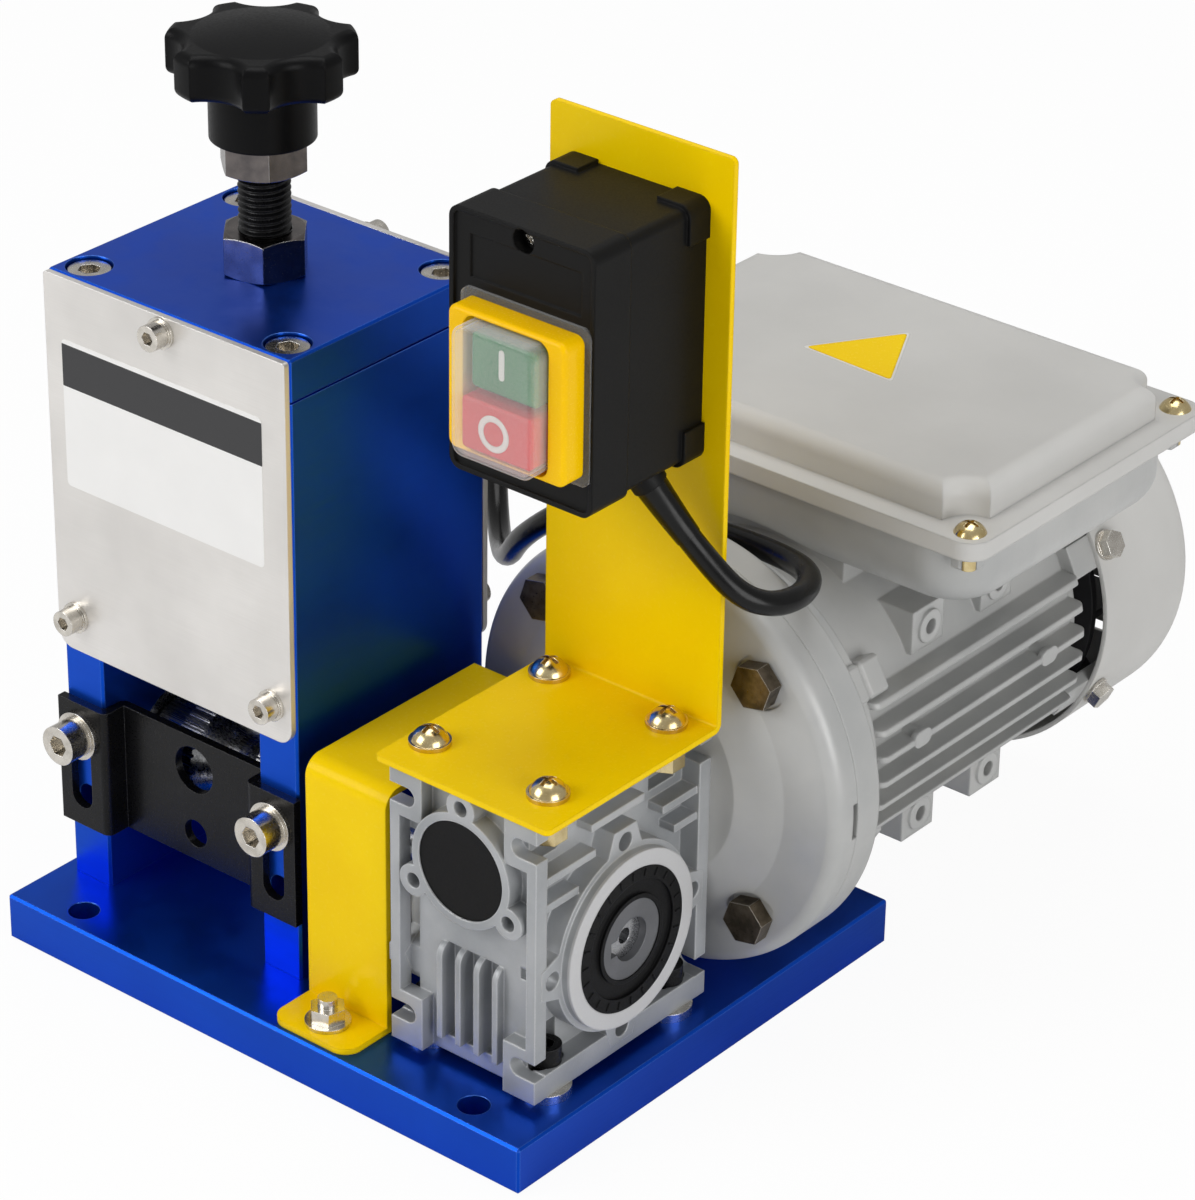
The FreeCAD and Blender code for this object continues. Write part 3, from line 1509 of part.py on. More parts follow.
def make_motor_front_shield():
    x = gearbox_x
    flange = rod_y(x, dish_plane, worm_z, motor_flange_diameter, motor_flange_thickness)
    flange = flange.fuse(rod_y(x, dish_plane - pilot_depth, worm_z, pilot_diameter, pilot_depth))
    front = motor_flange_back
    back = motor_frame_start
    land = back - shield_land
    rim = shield_outer / 2
    neck = rim - shield_step
    bell = [(front, 0), (front, neck), (land, rim), (back, rim), (back, 0)]
    centre = Vector(x, 0, worm_z)
    shield = fuse([flange, revolve(bell, centre, Y_AXIS, X_AXIS)] + motor_tie_lugs(motor_lug_front, back))
    hub = motor_bearing_outer / 2 + shield_wall
    w = shield_wall
    inner = [(front, hub), (front, neck - w), (land, rim - w), (back, rim - w), (back, hub)]
    shield = shield.cut(revolve(inner, centre, Y_AXIS, X_AXIS))
    seat = back - motor_bearing_width
    pilot_face = dish_plane - pilot_depth
    tools = [
        rod_y(x, seat, worm_z, motor_bearing_outer + 2 * tapped_fit, back - seat),
        rod_y(x, pilot_face, worm_z, motor_shaft_room, seat - pilot_face),
    ]
    for bx, bz in flange_bolt_points():
        tools.append(rod_y(bx, dish_plane, bz, flange_bolt_diameter + 2 * tapped_fit, motor_flange_thickness))
    return cut(shield, tools).removeSplitter()


def fin_offsets():
    first = -(motor_fin_count - 1) / 2 * motor_fin_pitch
    return [first + index * motor_fin_pitch for index in range(motor_fin_count)]


def motor_pads():
    # square mounting pads on both sides, each with a ringed boss round a tapped hole
    pads = []
    holes = []
    x = gearbox_x
    middle = (motor_pad_low + motor_pad_high) / 2
    proud = motor_pad_reach + motor_boss_height
    for y0 in motor_pad_starts:
        y1 = y0 + motor_pad_length
        for level in (-1, 1):
            z = worm_z + level * middle
            half = (motor_pad_high - motor_pad_low) / 2
            for side in (-1, 1):
                x0, x1 = sorted((x + side * motor_pad_low, x + side * motor_pad_reach))
                pads.append(box(x0, y0, z - half, x1, y1, z + half))
                outward = X_AXIS * side
                start = x + side * motor_pad_low
                reach = proud - motor_pad_low
                centre = (y0 + y1) / 2
                pads.append(rod(outward, start, centre, z, motor_boss_diameter, reach))
                floor = x + side * (proud - motor_pad_length / 2)
                holes.append(rod(outward, floor, centre, z, motor_boss_hole, motor_pad_length / 2))
    return pads, holes


def motor_fin_bosses():
    # round posts across one fin on each side, with a flat cap at the fin's tip
    shapes = []
    level = worm_z + motor_fin_boss_level
    long, high, deep = motor_fin_boss_cap
    tip = motor_fin_diameter / 2
    for y in motor_fin_boss_places:
        for side in (-1, 1):
            foot = gearbox_x + side * motor_frame_diameter / 3
            length = tip - motor_frame_diameter / 3 - deep
            shapes.append(rod(X_AXIS * side, foot, y, level, motor_fin_boss_diameter, length))
            x0, x1 = sorted((gearbox_x + side * (tip - deep), gearbox_x + side * tip))
            cap = box(x0, y - long / 2, level - high / 2, x1, y + long / 2, level + high / 2)
            shapes.append(round_along(cap, X_AXIS, high / 2 - 0.1))
    return shapes


def motor_tie_lugs(y0, y1):
    # blocks on the rim where the shield is bolted to the frame
    lugs = []
    half = motor_lug_width / 2
    for angle in (motor_lug_angle, 180 - motor_lug_angle, 180 + motor_lug_angle, -motor_lug_angle):
        lug = box(motor_lug_inner, y0, -half, motor_lug_outer, y1, half)
        lug = chamfer_all(lug, 1.0)
        lug.rotate(Vector(0, 0, 0), Y_AXIS, -angle)
        lug.translate(Vector(gearbox_x, 0, worm_z))
        lugs.append(lug)
    return lugs


def make_motor_frame():
    x = gearbox_x
    start = motor_frame_start
    end = motor_frame_end
    reach = motor_fin_diameter / 2
    envelope = rod_y(x, start, worm_z, motor_fin_diameter, end - start)
    rims = [edge for edge in envelope.Edges if isinstance(edge.Curve, Part.Circle)]
    envelope = envelope.makeFillet(motor_fin_round, rims)
    half = motor_fin_thickness / 2
    fins = []
    for offset in fin_offsets():
        z = worm_z + offset
        fins.append(box(x - reach, start, z - half, x + reach, end, z + half))
        across = x + offset
        fins.append(box(across - half, start, worm_z - reach, across + half, end, worm_z))
    saddle_front = start + motor_saddle_inset_front
    saddle_back = end - motor_saddle_inset_rear
    wide = motor_saddle_half
    fins.append(box(x - wide, saddle_front, worm_z, x + wide, saddle_back, worm_z + reach))
    pads, holes = motor_pads()
    body = rod_y(x, start, worm_z, motor_frame_diameter, end - start)
    lugs = motor_tie_lugs(start, motor_lug_end)
    frame = fuse([body, fuse(fins).common(envelope)] + pads + lugs + motor_fin_bosses())
    bore = rod_y(x, start, worm_z, stator_outer + 2 * tapped_fit, end - start)
    return cut(frame, holes + [bore]).removeSplitter()


def make_stator():
    x = gearbox_x
    start = stator_centre_y - stator_length / 2
    core = ring(Y_AXIS, x, start, worm_z, stator_outer, stator_bore, stator_length)
    back = start - winding_overhang
    whole = stator_length + 2 * winding_overhang
    return core.fuse(ring(Y_AXIS, x, back, worm_z, winding_outer, winding_bore, whole)).removeSplitter()


def make_rotor():
    x = gearbox_x
    core_start = stator_centre_y - rotor_length / 2
    front = motor_frame_start - motor_bearing_width
    tip = worm_socket_start + 1
    thick_start = motor_frame_start + face_gap
    shapes = [
        rod_y(x, tip, worm_z, worm_bore, front - tip),
        rod_y(x, front, worm_z, motor_bearing_bore, fan_start + fan_width - front),
        rod_y(x, thick_start, worm_z, rotor_shaft_diameter, motor_frame_end - face_gap - thick_start),
        rod_y(x, core_start, worm_z, rotor_diameter, rotor_length),
    ]
    return fuse(shapes)


def make_motor_bearings():
    units = []
    for start in (motor_frame_start - motor_bearing_width, motor_frame_end):
        at = Vector(gearbox_x, start, worm_z)
        units.append(bearing(Y_AXIS, at, motor_bearing_outer, motor_bearing_bore, motor_bearing_width))
    return Part.makeCompound(units)


def fan_screw_angles():
    return (fan_screw_angle, -fan_screw_angle, 180 - fan_screw_angle, 180 + fan_screw_angle)


def make_motor_rear_shield():
    x = gearbox_x
    start = motor_frame_end
    seat_end = start + motor_bearing_width
    hub = motor_bearing_outer / 2 + shield_wall
    depth = rear_shield_end - start
    rim = rear_shield_outer / 2
    shield = rod_y(x, start, worm_z, 2 * rim, depth)
    hollow = ring(Y_AXIS, x, start, worm_z, 2 * (rim - shield_wall), 2 * hub, depth - shield_wall / 2)
    shield = shield.cut(hollow)
    shield = shield.fuse(rod_y(x, start, worm_z, 2 * hub, seat_end - start + 1))
    half = fan_lug_diameter / 2
    lug_end = fan_cover_start + fan_lug_overlap
    inner_rim = fan_cover_diameter / 2 - fan_cover_sheet
    keep = rod_y(x, start, worm_z, 2 * inner_rim, lug_end - start)
    for angle in fan_screw_angles():
        arm = box(rim - shield_wall, start, -half, inner_rim + 1, rear_shield_end, half)
        finger = box(fan_diameter / 2 + fan_tip_gap, start, -half, inner_rim + 1, lug_end, half)
        lug = arm.fuse(finger)
        lug.rotate(Vector(0, 0, 0), Y_AXIS, -angle)
        lug.translate(Vector(x, 0, worm_z))
        shield = shield.fuse(lug.common(keep))
    shield = shield.cut(rod_y(x, start, worm_z, motor_bearing_outer + 2 * tapped_fit, motor_bearing_width))
    shield = shield.cut(rod_y(x, start, worm_z, motor_shaft_room, lug_end - start))
    tap = fan_screw_diameter + 2 * tapped_fit
    for seat, outward in fan_screw_seats():
        shield = shield.cut(rod(outward * -1, seat.x, seat.y, seat.z, tap, fan_lug_diameter))
    return shield.removeSplitter()


def fan_screw_seats():
    seats = []
    y = fan_cover_start + fan_lug_overlap / 2
    reach = fan_cover_diameter / 2
    for angle in fan_screw_angles():
        outward = Vector(math.cos(math.radians(angle)), 0, math.sin(math.radians(angle)))
        seats.append((Vector(gearbox_x, y, worm_z) + outward * reach, outward))
    return seats


def make_fan_cover_screws():
    screws = []
    for seat, outward in fan_screw_seats():
        inward = outward * -1
        washer_radius = fan_screw_flats * 0.62
        washer = rod(outward, seat.x, seat.y, seat.z, 2 * washer_radius, fan_washer_thickness)
        top = seat + outward * fan_washer_thickness
        length = fan_cover_diameter / 2 + fan_washer_thickness - fan_diameter / 2 - fan_tip_gap
        screw = hex_bolt(inward, top, fan_screw_diameter, length, fan_screw_flats, fan_screw_diameter * 0.7)
        screws.append(washer.fuse(screw).removeSplitter())
    return Part.makeCompound(screws)


def make_cooling_fan():
    x = gearbox_x
    hub = rod_y(x, fan_start, worm_z, fan_hub_diameter, fan_width)
    disc = rod_y(x, fan_start, worm_z, fan_diameter, fan_blade_thickness)
    shapes = [hub, disc]
    for index in range(fan_blades):
        half = fan_blade_thickness / 2
        blade = box(fan_hub_diameter / 2 - 1, fan_start, -half, fan_diameter / 2, fan_start + fan_width, half)
        blade.rotate(Vector(0, 0, 0), Y_AXIS, 360.0 * index / fan_blades)
        blade.translate(Vector(x, 0, worm_z))
        shapes.append(blade)
    fan = fuse(shapes)
    return fan.cut(rod_y(x, fan_start, worm_z, motor_bearing_bore + running_fit, fan_width))


def circles_at_y(shape, y):
    found = []
    for edge in shape.Edges:
        if isinstance(edge.Curve, Part.Circle) and abs(edge.CenterOfMass.y - y) < 1e-6:
            found.append(edge)
    return found


def make_fan_cover():
    x = gearbox_x
    length = fan_cover_end - fan_cover_start
    radius = fan_cover_diameter / 2
    t = fan_cover_sheet
    outer = rod_y(x, fan_cover_start, worm_z, 2 * radius, length)
    outer = outer.makeFillet(fan_cover_round, circles_at_y(outer, fan_cover_end))
    inner = rod_y(x, fan_cover_start, worm_z, 2 * (radius - t), length - t)
    inner = inner.makeFillet(fan_cover_round - t, circles_at_y(inner, fan_cover_end - t))
    cover = outer.cut(inner)
    cuts = []
    count = int(fan_grille_radius / fan_grille_pitch)
    half_slot = fan_grille_slot / 2
    for index in range(-count, count + 1):
        z = worm_z + index * fan_grille_pitch
        reach = math.sqrt(max(fan_grille_radius ** 2 - (z - worm_z) ** 2, 1.0))
        for side in (-1, 1):
            inner_x = fan_grille_pitch / 2
            if reach > 3 * inner_x:
                x0, x1 = sorted((x + side * inner_x, x + side * reach))
                cuts.append(box(x0, fan_cover_end - 2 * t, z - half_slot, x1, fan_cover_end, z + half_slot))
    for seat, outward in fan_screw_seats():
        hole = fan_screw_diameter + clearance_hole_play
        start = seat - outward * (2 * t)
        cuts.append(rod(outward, start.x, start.y, start.z, hole, 3 * t))
    return cut(cover, cuts)


# Terminal box

def terminal_screw_points():
    half_x = terminal_flange_length / 2 - terminal_rim_radius
    half_y = terminal_flange_width / 2 - terminal_rim_radius
    return [(terminal_x + i * half_x, terminal_y + j * half_y) for i in (-1, 1) for j in (-1, 1)]


def centred_slab(half_x, half_y, z0, z1, radius):
    x = terminal_x
    y = terminal_y
    return rounded_box(x - half_x, y - half_y, z0, x + half_x, y + half_y, z1, radius)


def make_terminal_box():
    half_x = terminal_flange_length / 2 - terminal_tub_inset
    half_y = terminal_flange_width / 2 - terminal_tub_inset
    t = terminal_wall
    top = terminal_flange_top - t
    tub = centred_slab(half_x, half_y, terminal_bottom, top, terminal_tub_radius)
    low = [e for e in tub.Edges if abs(e.BoundBox.ZMax - terminal_bottom) < 1e-6]
    tub = tub.makeFillet(terminal_bottom_radius, low)
    cavity = centred_slab(half_x - t, half_y - t, terminal_bottom + t, top, terminal_tub_radius - t)
    low = [e for e in cavity.Edges if abs(e.BoundBox.ZMax - terminal_bottom - t) < 1e-6]
    cavity = cavity.makeFillet(terminal_bottom_radius - t, low)
    length = terminal_flange_width
    saddle = motor_fin_diameter + 2 * terminal_saddle_gap
    y0 = terminal_front
    wall = tub.common(rod_y(gearbox_x, y0, worm_z, saddle + 2 * t, length))
    shell = tub.cut(cavity).fuse(wall)
    posts = []
    for x, y in terminal_screw_points():
        posts.append(rod_z(x, y, top - terminal_post_depth, terminal_post_diameter, terminal_post_depth))
    shell = shell.fuse(Part.makeCompound(posts).common(centred_slab(half_x, half_y, terminal_bottom, top, t)))
    reach = gland_engagement()
    for centre, outward in gland_places():
        start = centre - outward * reach
        shell = shell.fuse(rod(outward, start.x, start.y, start.z, gland_boss, reach))
    tools = [rod_y(gearbox_x, y0, worm_z, saddle, length)]
    for centre, outward in gland_places():
        start = centre - outward * reach
        tools.append(rod(outward, start.x, start.y, start.z, gland_thread + 2 * tapped_fit, reach))
    for x, y in terminal_screw_points():
        tap = terminal_screw_diameter + 2 * tapped_fit
        tools.append(rod_z(x, y, top - terminal_post_depth, tap, terminal_post_depth))
    return cut(shell, tools).removeSplitter()


def gland_engagement():
    return terminal_tub_inset + terminal_wall + face_gap


def gland_places():
    left = Vector(terminal_left - face_gap, terminal_y, gland_height)
    rear = Vector(terminal_x, terminal_y + terminal_flange_width / 2 + face_gap, gland_height)
    return ((left, X_AXIS * -1), (rear, Y_AXIS))


def make_terminal_box_lid():
    half_x = terminal_flange_length / 2
    half_y = terminal_flange_width / 2
    t = terminal_wall
    top = terminal_flange_top
    rim_low = top - terminal_rim
    inset_x = half_x - terminal_plateau_inset
    inset_y = half_y - terminal_plateau_inset
    lid = centred_slab(half_x, half_y, rim_low, top, terminal_rim_radius)
    notch = terminal_corner_notch
    plateau = plateau_solid(inset_x, inset_y, top, terminal_plateau_top, notch)
    top_edges = [e for e in plateau.Edges if e.BoundBox.ZMin > terminal_plateau_top - 1e-6]
    lid = lid.fuse(plateau.makeFillet(terminal_plateau_round, top_edges))
    lip = t - face_gap
    hollow = centred_slab(half_x - lip, half_y - lip, rim_low, top - t, terminal_rim_radius - lip)
    tools = [hollow, plateau_solid(inset_x - t, inset_y - t, rim_low, terminal_plateau_top - t, notch + t)]
    for x, y in terminal_screw_points():
        tools.append(rod_z(x, y, rim_low, terminal_screw_diameter + clearance_hole_play, terminal_rim))
    return cut(lid, tools).removeSplitter()


def plateau_solid(half_x, half_y, z0, z1, notch):
    x = terminal_x
    y = terminal_y
    slab = box(x - half_x, y - half_y, z0, x + half_x, y + half_y, z1)
    return cut(slab, [rod_z(px, py, z0, 2 * notch, z1 - z0) for px, py in terminal_screw_points()])


def make_terminal_lid_screws():
    screws = []
    head = (terminal_screw_head, terminal_screw_head_height)
    for x, y in terminal_screw_points():
        seat = Vector(x, y, terminal_flange_top)
        screws.append(pan_screw(Z_AXIS * -1, seat, terminal_screw_diameter, terminal_screw_length, *head))
    return Part.makeCompound(screws)


def make_cable_glands():
    shapes = []
    for centre, outward in gland_places():
        start = centre - outward * gland_engagement()
        thread = rod(outward, start.x, start.y, start.z, gland_thread, gland_engagement())
        body = prism(outward, centre.x, centre.y, centre.z, gland_hex, gland_hex_height, 0)
        end = centre + outward * gland_hex_height
        dome = rod(outward, end.x, end.y, end.z, gland_dome_diameter, gland_dome_height)
        ends = [e for e in dome.Edges if isinstance(e.Curve, Part.Circle)]
        far = max(ends, key=lambda e: e.CenterOfMass.dot(outward))
        dome = dome.makeFillet((gland_dome_diameter - gland_nose_diameter) / 2, [far])
        shapes.append(fuse([thread, body, dome]))
    exit_point, lean = cable_exit()
    inside = 1.5 * box_wall
    start = exit_point - lean * inside
    shapes.append(rod(lean, start.x, start.y, start.z, grommet_diameter, inside + grommet_drop))
    return Part.makeCompound(shapes)


def make_terminal_block():
    x0 = terminal_x + terminal_block_offset
    y0 = terminal_y - terminal_block_width / 2
    y1 = y0 + terminal_block_width
    z0 = terminal_bottom + terminal_wall
    block = box(x0, y0, z0, x0 + terminal_block_length, y1, z0 + terminal_block_height)
    pitch = terminal_block_length / terminal_poles
    depth = terminal_block_height / 2
    holes = []
    for index in range(terminal_poles):
        x = x0 + (index + 0.5) * pitch
        for y in (y0 + terminal_row_inset, y1 - terminal_row_inset):
            holes.append(rod_z(x, y, z0 + depth, terminal_pole_hole, depth))
    return cut(block, holes)


def make_run_capacitor():
    x = terminal_left + terminal_tub_inset + terminal_wall + capacitor_diameter / 2 + capacitor_side_gap
    y0 = terminal_y - capacitor_length / 2
    z = terminal_bottom + terminal_wall + capacitor_diameter / 2
    can = rod_y(x, y0, z, capacitor_diameter, capacitor_length)
    return can.fuse(rod_y(x, y0 + capacitor_length, z, capacitor_stud_diameter, capacitor_stud_length))


# Bracket and switch

def make_switch_bracket():
    x0 = bracket_left
    x1 = bracket_left + bracket_width
    t = bracket_sheet
    floor = box(x0, bracket_front, gearbox_top, x1, bracket_back, gearbox_top + t)
    r = bracket_corner_radius
    floor = round_along(floor, Z_AXIS, r, (-FAR, bracket_front, -FAR), (FAR, bracket_front, FAR))
    wall = box(x0, plate_front, gearbox_top, x1, bracket_back, bracket_top)
    wall = round_along(wall, Y_AXIS, r, (-FAR, -FAR, bracket_top), (FAR, FAR, bracket_top))
    bracket = floor.fuse(wall).removeSplitter()
    corner = edges_along(bracket, X_AXIS, (-FAR, bracket_back, gearbox_top), (FAR, bracket_back, gearbox_top))
    bracket = bracket.makeFillet(bracket_bend_radius, corner)
    floor_z = gearbox_top + t
    inner = edges_along(bracket, X_AXIS, (-FAR, plate_front, floor_z), (FAR, plate_front, floor_z))
    bracket = bracket.makeFillet(bracket_bend_radius - t, inner)
    tools = []
    hole = gearbox_bolt_diameter + clearance_hole_play
    for x, y in bracket_screw_points():
        tools.append(rod_z(x, y, gearbox_top, hole, t))
    x, z = box_screw_point()
    tools.append(rod_y(x, plate_front, z, box_screw_diameter + 2 * tapped_fit, t))
    return cut(bracket, tools)


def make_bracket_screws():
    shapes = []
    top = gearbox_top + bracket_sheet
    washer = bracket_washer_thickness
    seat_z = top + washer
    nut_z = gearbox_top_low - bracket_nut_height
    shank = gearbox_bolt_diameter
    head = (bracket_screw_head, bracket_screw_head_height)
    for x, y in bracket_screw_points():
        disc = ring(Z_AXIS, x, y, top, bracket_washer, shank, washer)
        screw = pan_screw(Z_AXIS * -1, Vector(x, y, seat_z), shank, seat_z - nut_z + 1, *head)
        low = nut(Z_AXIS, Vector(x, y, nut_z), bracket_nut_flats, bracket_nut_height, shank, 90)
        shapes.append(fuse([disc, screw, low]))
    return Part.makeCompound(shapes)


def box_screw_point():
    return (box_centre_x, box_top - box_screw_drop)


def bezel_centre_z():
    return box_top - bezel_drop


def centred_block(width, height, y0, y1, radius):
    # a block on the axis of the bezel, its four edges along Y rounded
    x = bezel_x
    z = bezel_centre_z()
    block = box(x - width / 2, y0, z - height / 2, x + width / 2, y1, z + height / 2)
    return round_along(block, Y_AXIS, radius) if radius > 0 else block


def button_window(y0, y1):
    return centred_block(button_window_width, button_window_height, y0, y1, cap_corner_radius)


def box_block(inset, y0, y1, radius):
    x = box_centre_x
    half = box_width / 2 - inset
    block = box(x - half, y0, box_bottom + inset, x + half, y1, box_top - inset)
    return round_along(block, Y_AXIS, radius)


def switch_face_y():
    return box_front + box_face_recess


def cap_flange_width():
    return bezel_width + 2 * cap_flange_margin


def cap_flange_height():
    return bezel_height + 2 * cap_flange_margin


def cap_flange_front():
    return switch_face_y() - cap_flange


def make_switch_box():
    # a raised band at the front, and a body that steps in behind it
    w = box_wall
    step = box_band_step
    face_y = switch_face_y()
    outside = box_block(0, box_front, box_front + box_band_depth, box_corner_radius)
    outside = outside.fuse(box_block(step, box_front, box_back, box_corner_radius - step))
    outside = outside.fuse(box_rear_pads())
    cavity = box_block(step + w, face_y + w, box_back, box_inner_radius)
    face = box_block(box_rim, box_front, face_y, box_corner_radius - box_rim)
    window = button_window(box_front, face_y + w)
    seat_width = cap_flange_width() + 2 * face_gap
    seat_height = cap_flange_height() + 2 * face_gap
    seat = centred_block(seat_width, seat_height, box_front, face_y, bezel_corner_radius)
    x, z = box_screw_point()
    boss = rod_y(x, face_y, z, box_screw_head + 2 * box_screw_wall, box_back - face_y)
    shell = outside.cut(cavity).fuse(boss.common(outside))
    recess = box_face_recess + box_screw_recess + box_screw_head_height
    field_back = face_y + box_field_depth
    field = box(box_field_left, box_front, box_field_low, box_field_right, field_back, box_field_high)
    tools = [
        face, seat, window, field,
        rod_y(x, box_front, z, box_screw_diameter + clearance_hole_play, box_depth),
        rod_y(x, box_front, z, box_screw_head + clearance_hole_play, recess),
    ]
    exit_point, lean = cable_exit()
    start = exit_point - lean * (2 * w)
    tools.append(rod(lean, start.x, start.y, start.z, grommet_diameter + 2 * tapped_fit, 4 * w))
    return cut(shell, tools).removeSplitter()


def box_rear_pads():
    # the box is full size again at its four rear corners
    front = box_back - box_rear_pad_depth
    pads = box_block(0, front, box_back, box_corner_radius)
    half_x = box_width / 2 - box_rear_pad_length
    low = box_bottom + box_rear_pad_length
    high = box_top - box_rear_pad_length
    x = box_centre_x
    upright = box(x - half_x, front, box_bottom, x + half_x, box_back, box_top)
    level = box(x - box_width / 2, front, low, x + box_width / 2, box_back, high)
    return cut(pads, [upright, level])


def make_box_screw():
    x, z = box_screw_point()
    seat = Vector(x, switch_face_y() + box_screw_recess + box_screw_head_height, z)
    length = bracket_back - seat.y + 1
    return pan_screw(Y_AXIS, seat, box_screw_diameter, length, box_screw_head, box_screw_head_height)


def front_edges(shape, front):
    return [edge for edge in shape.Edges if abs(edge.BoundBox.YMax - front) < 1e-6]


def make_switch_bezel():
    front = bezel_front_y()
    back = cap_flange_front()
    bezel = centred_block(bezel_width, bezel_height, front, back, bezel_corner_radius)
    bezel = bezel.makeFillet(bezel_edge_radius, front_edges(bezel, front))
    return bezel.cut(button_window(front, back))


def make_clear_cap():
    back = switch_face_y()
    front = back - cap_reach
    w = cap_wall
    width = cap_flange_width()
    flange = centred_block(width, cap_flange_height(), cap_flange_front(), back, bezel_corner_radius)
    dome = centred_block(cap_width, cap_height, front, back, cap_corner_radius)
    dome = dome.makeFillet(cap_edge_radius, front_edges(dome, front))
    inner = centred_block(cap_width - 2 * w, cap_height - 2 * w, front + w, back, cap_corner_radius - w)
    return flange.fuse(dome).cut(inner).removeSplitter()


def bezel_front_y():
    return cap_flange_front() - bezel_thickness


def button_heights():
    whole = start_height + stop_height + button_split_gap
    top = bezel_centre_z() + whole / 2 - button_drop
    return (top - start_height, top), (top - whole, top - whole + stop_height)


def button_solid(z_low, z_high, proud, width):
    front = bezel_front_y() - proud
    core = switch_core_front()
    back = core - button_travel - face_gap
    x = bezel_x
    key = box(x - width / 2, front, z_low, x + width / 2, back, z_high)
    key = round_along(key, Y_AXIS, button_corner_radius)
    key = key.makeChamfer(button_edge, front_edges(key, front))
    middle = (z_low + z_high) / 2
    half_x = button_guide_width / 2
    half_z = button_guide_height / 2
    end = core + 2 * button_travel
    guide = box(x - half_x, back, middle - half_z, x + half_x, end, middle + half_z)
    return key.fuse(guide).removeSplitter()


def make_start_button():
    low, high = button_heights()[0]
    return button_solid(low, high, start_proud, start_width)


def make_stop_button():
    low, high = button_heights()[1]
    return button_solid(low, high, stop_proud, stop_width)


def switch_core_front():
    return switch_face_y() + box_wall + 2 * button_travel


def make_switch_core():
    front = switch_core_front()
    width = switch_core_width
    height = switch_core_height
    core = centred_block(width, height, front, front + switch_core_depth, switch_core_radius)
    skirt_front = switch_face_y() + box_wall
    skirt = centred_block(width, height, skirt_front, front, switch_core_radius)
    skirt = skirt.cut(centred_block(button_window_width, button_window_height, skirt_front, front, 0))
    core = core.fuse(skirt)
    x = bezel_x
    half_x = button_guide_width / 2 + button_play
    half_z = button_guide_height / 2 + button_play
    depth = 3 * button_travel + 2 * face_gap
    for low, high in button_heights():
        middle = (low + high) / 2
        core = core.cut(box(x - half_x, front, middle - half_z, x + half_x, front + depth, middle + half_z))
    return core.removeSplitter()


# Cable from the switch box to the terminal box

def cable_exit():
    x = box_centre_x + box_width / 2 - cable_exit_inset
    y = box_back - cable_exit_from_back
    lean = Vector(*cable_exit_lean)
    lean.normalize()
    return Vector(x, y, box_body_bottom), lean


def cable_route():
    exit_point, lean = cable_exit()
    start = exit_point + lean * grommet_drop
    centre, outward = gland_places()[0]
    end = centre + outward * (gland_hex_height + gland_dome_height)
    middle = [Vector(*point) for point in cable_points]
    return [start, start + lean * cable_first_run] + middle + [end]


def rounded_path(points, share):
    edges = []
    here = points[0]
    radii = []
    length = 0.0
    for index in range(1, len(points) - 1):
        corner = points[index]
        before = points[index - 1] - corner
        after = points[index + 1] - corner
        shorter = min(before.Length, after.Length)
        before.normalize()
        after.normalize()
        turn = math.pi - before.getAngle(after)
        reach = share * shorter
        radius = reach / math.tan(turn / 2)
        radii.append(radius)
        first = corner + before * reach
        last = corner + after * reach
        bisector = before + after
        bisector.normalize()
        centre = corner + bisector * math.hypot(radius, reach)
        inward = corner - centre
        inward.normalize()
        middle = centre + inward * radius
        edges.append(Part.LineSegment(here, first).toShape())
        edges.append(Part.Arc(first, middle, last).toShape())
        length += (first - here).Length + radius * turn
        here = last
    edges.append(Part.LineSegment(here, points[-1]).toShape())
    length += (points[-1] - here).Length
    return Part.Wire(edges), radii, length


def make_switch_cable():
    points = cable_route()
    wire, radii, length = rounded_path(points, 0.45)
    direction = points[1] - points[0]
    circle = Part.Wire(Part.makeCircle(cable_diameter / 2, points[0], direction))
    tube = wire.makePipeShell([circle], True, False)
    section = math.pi * (cable_diameter / 2) ** 2
    print("cable radii", [round(radius, 1) for radius in radii])
    print("cable length", round(length, 1), "volume share", round(tube.Volume / (section * length), 4))
    return tube


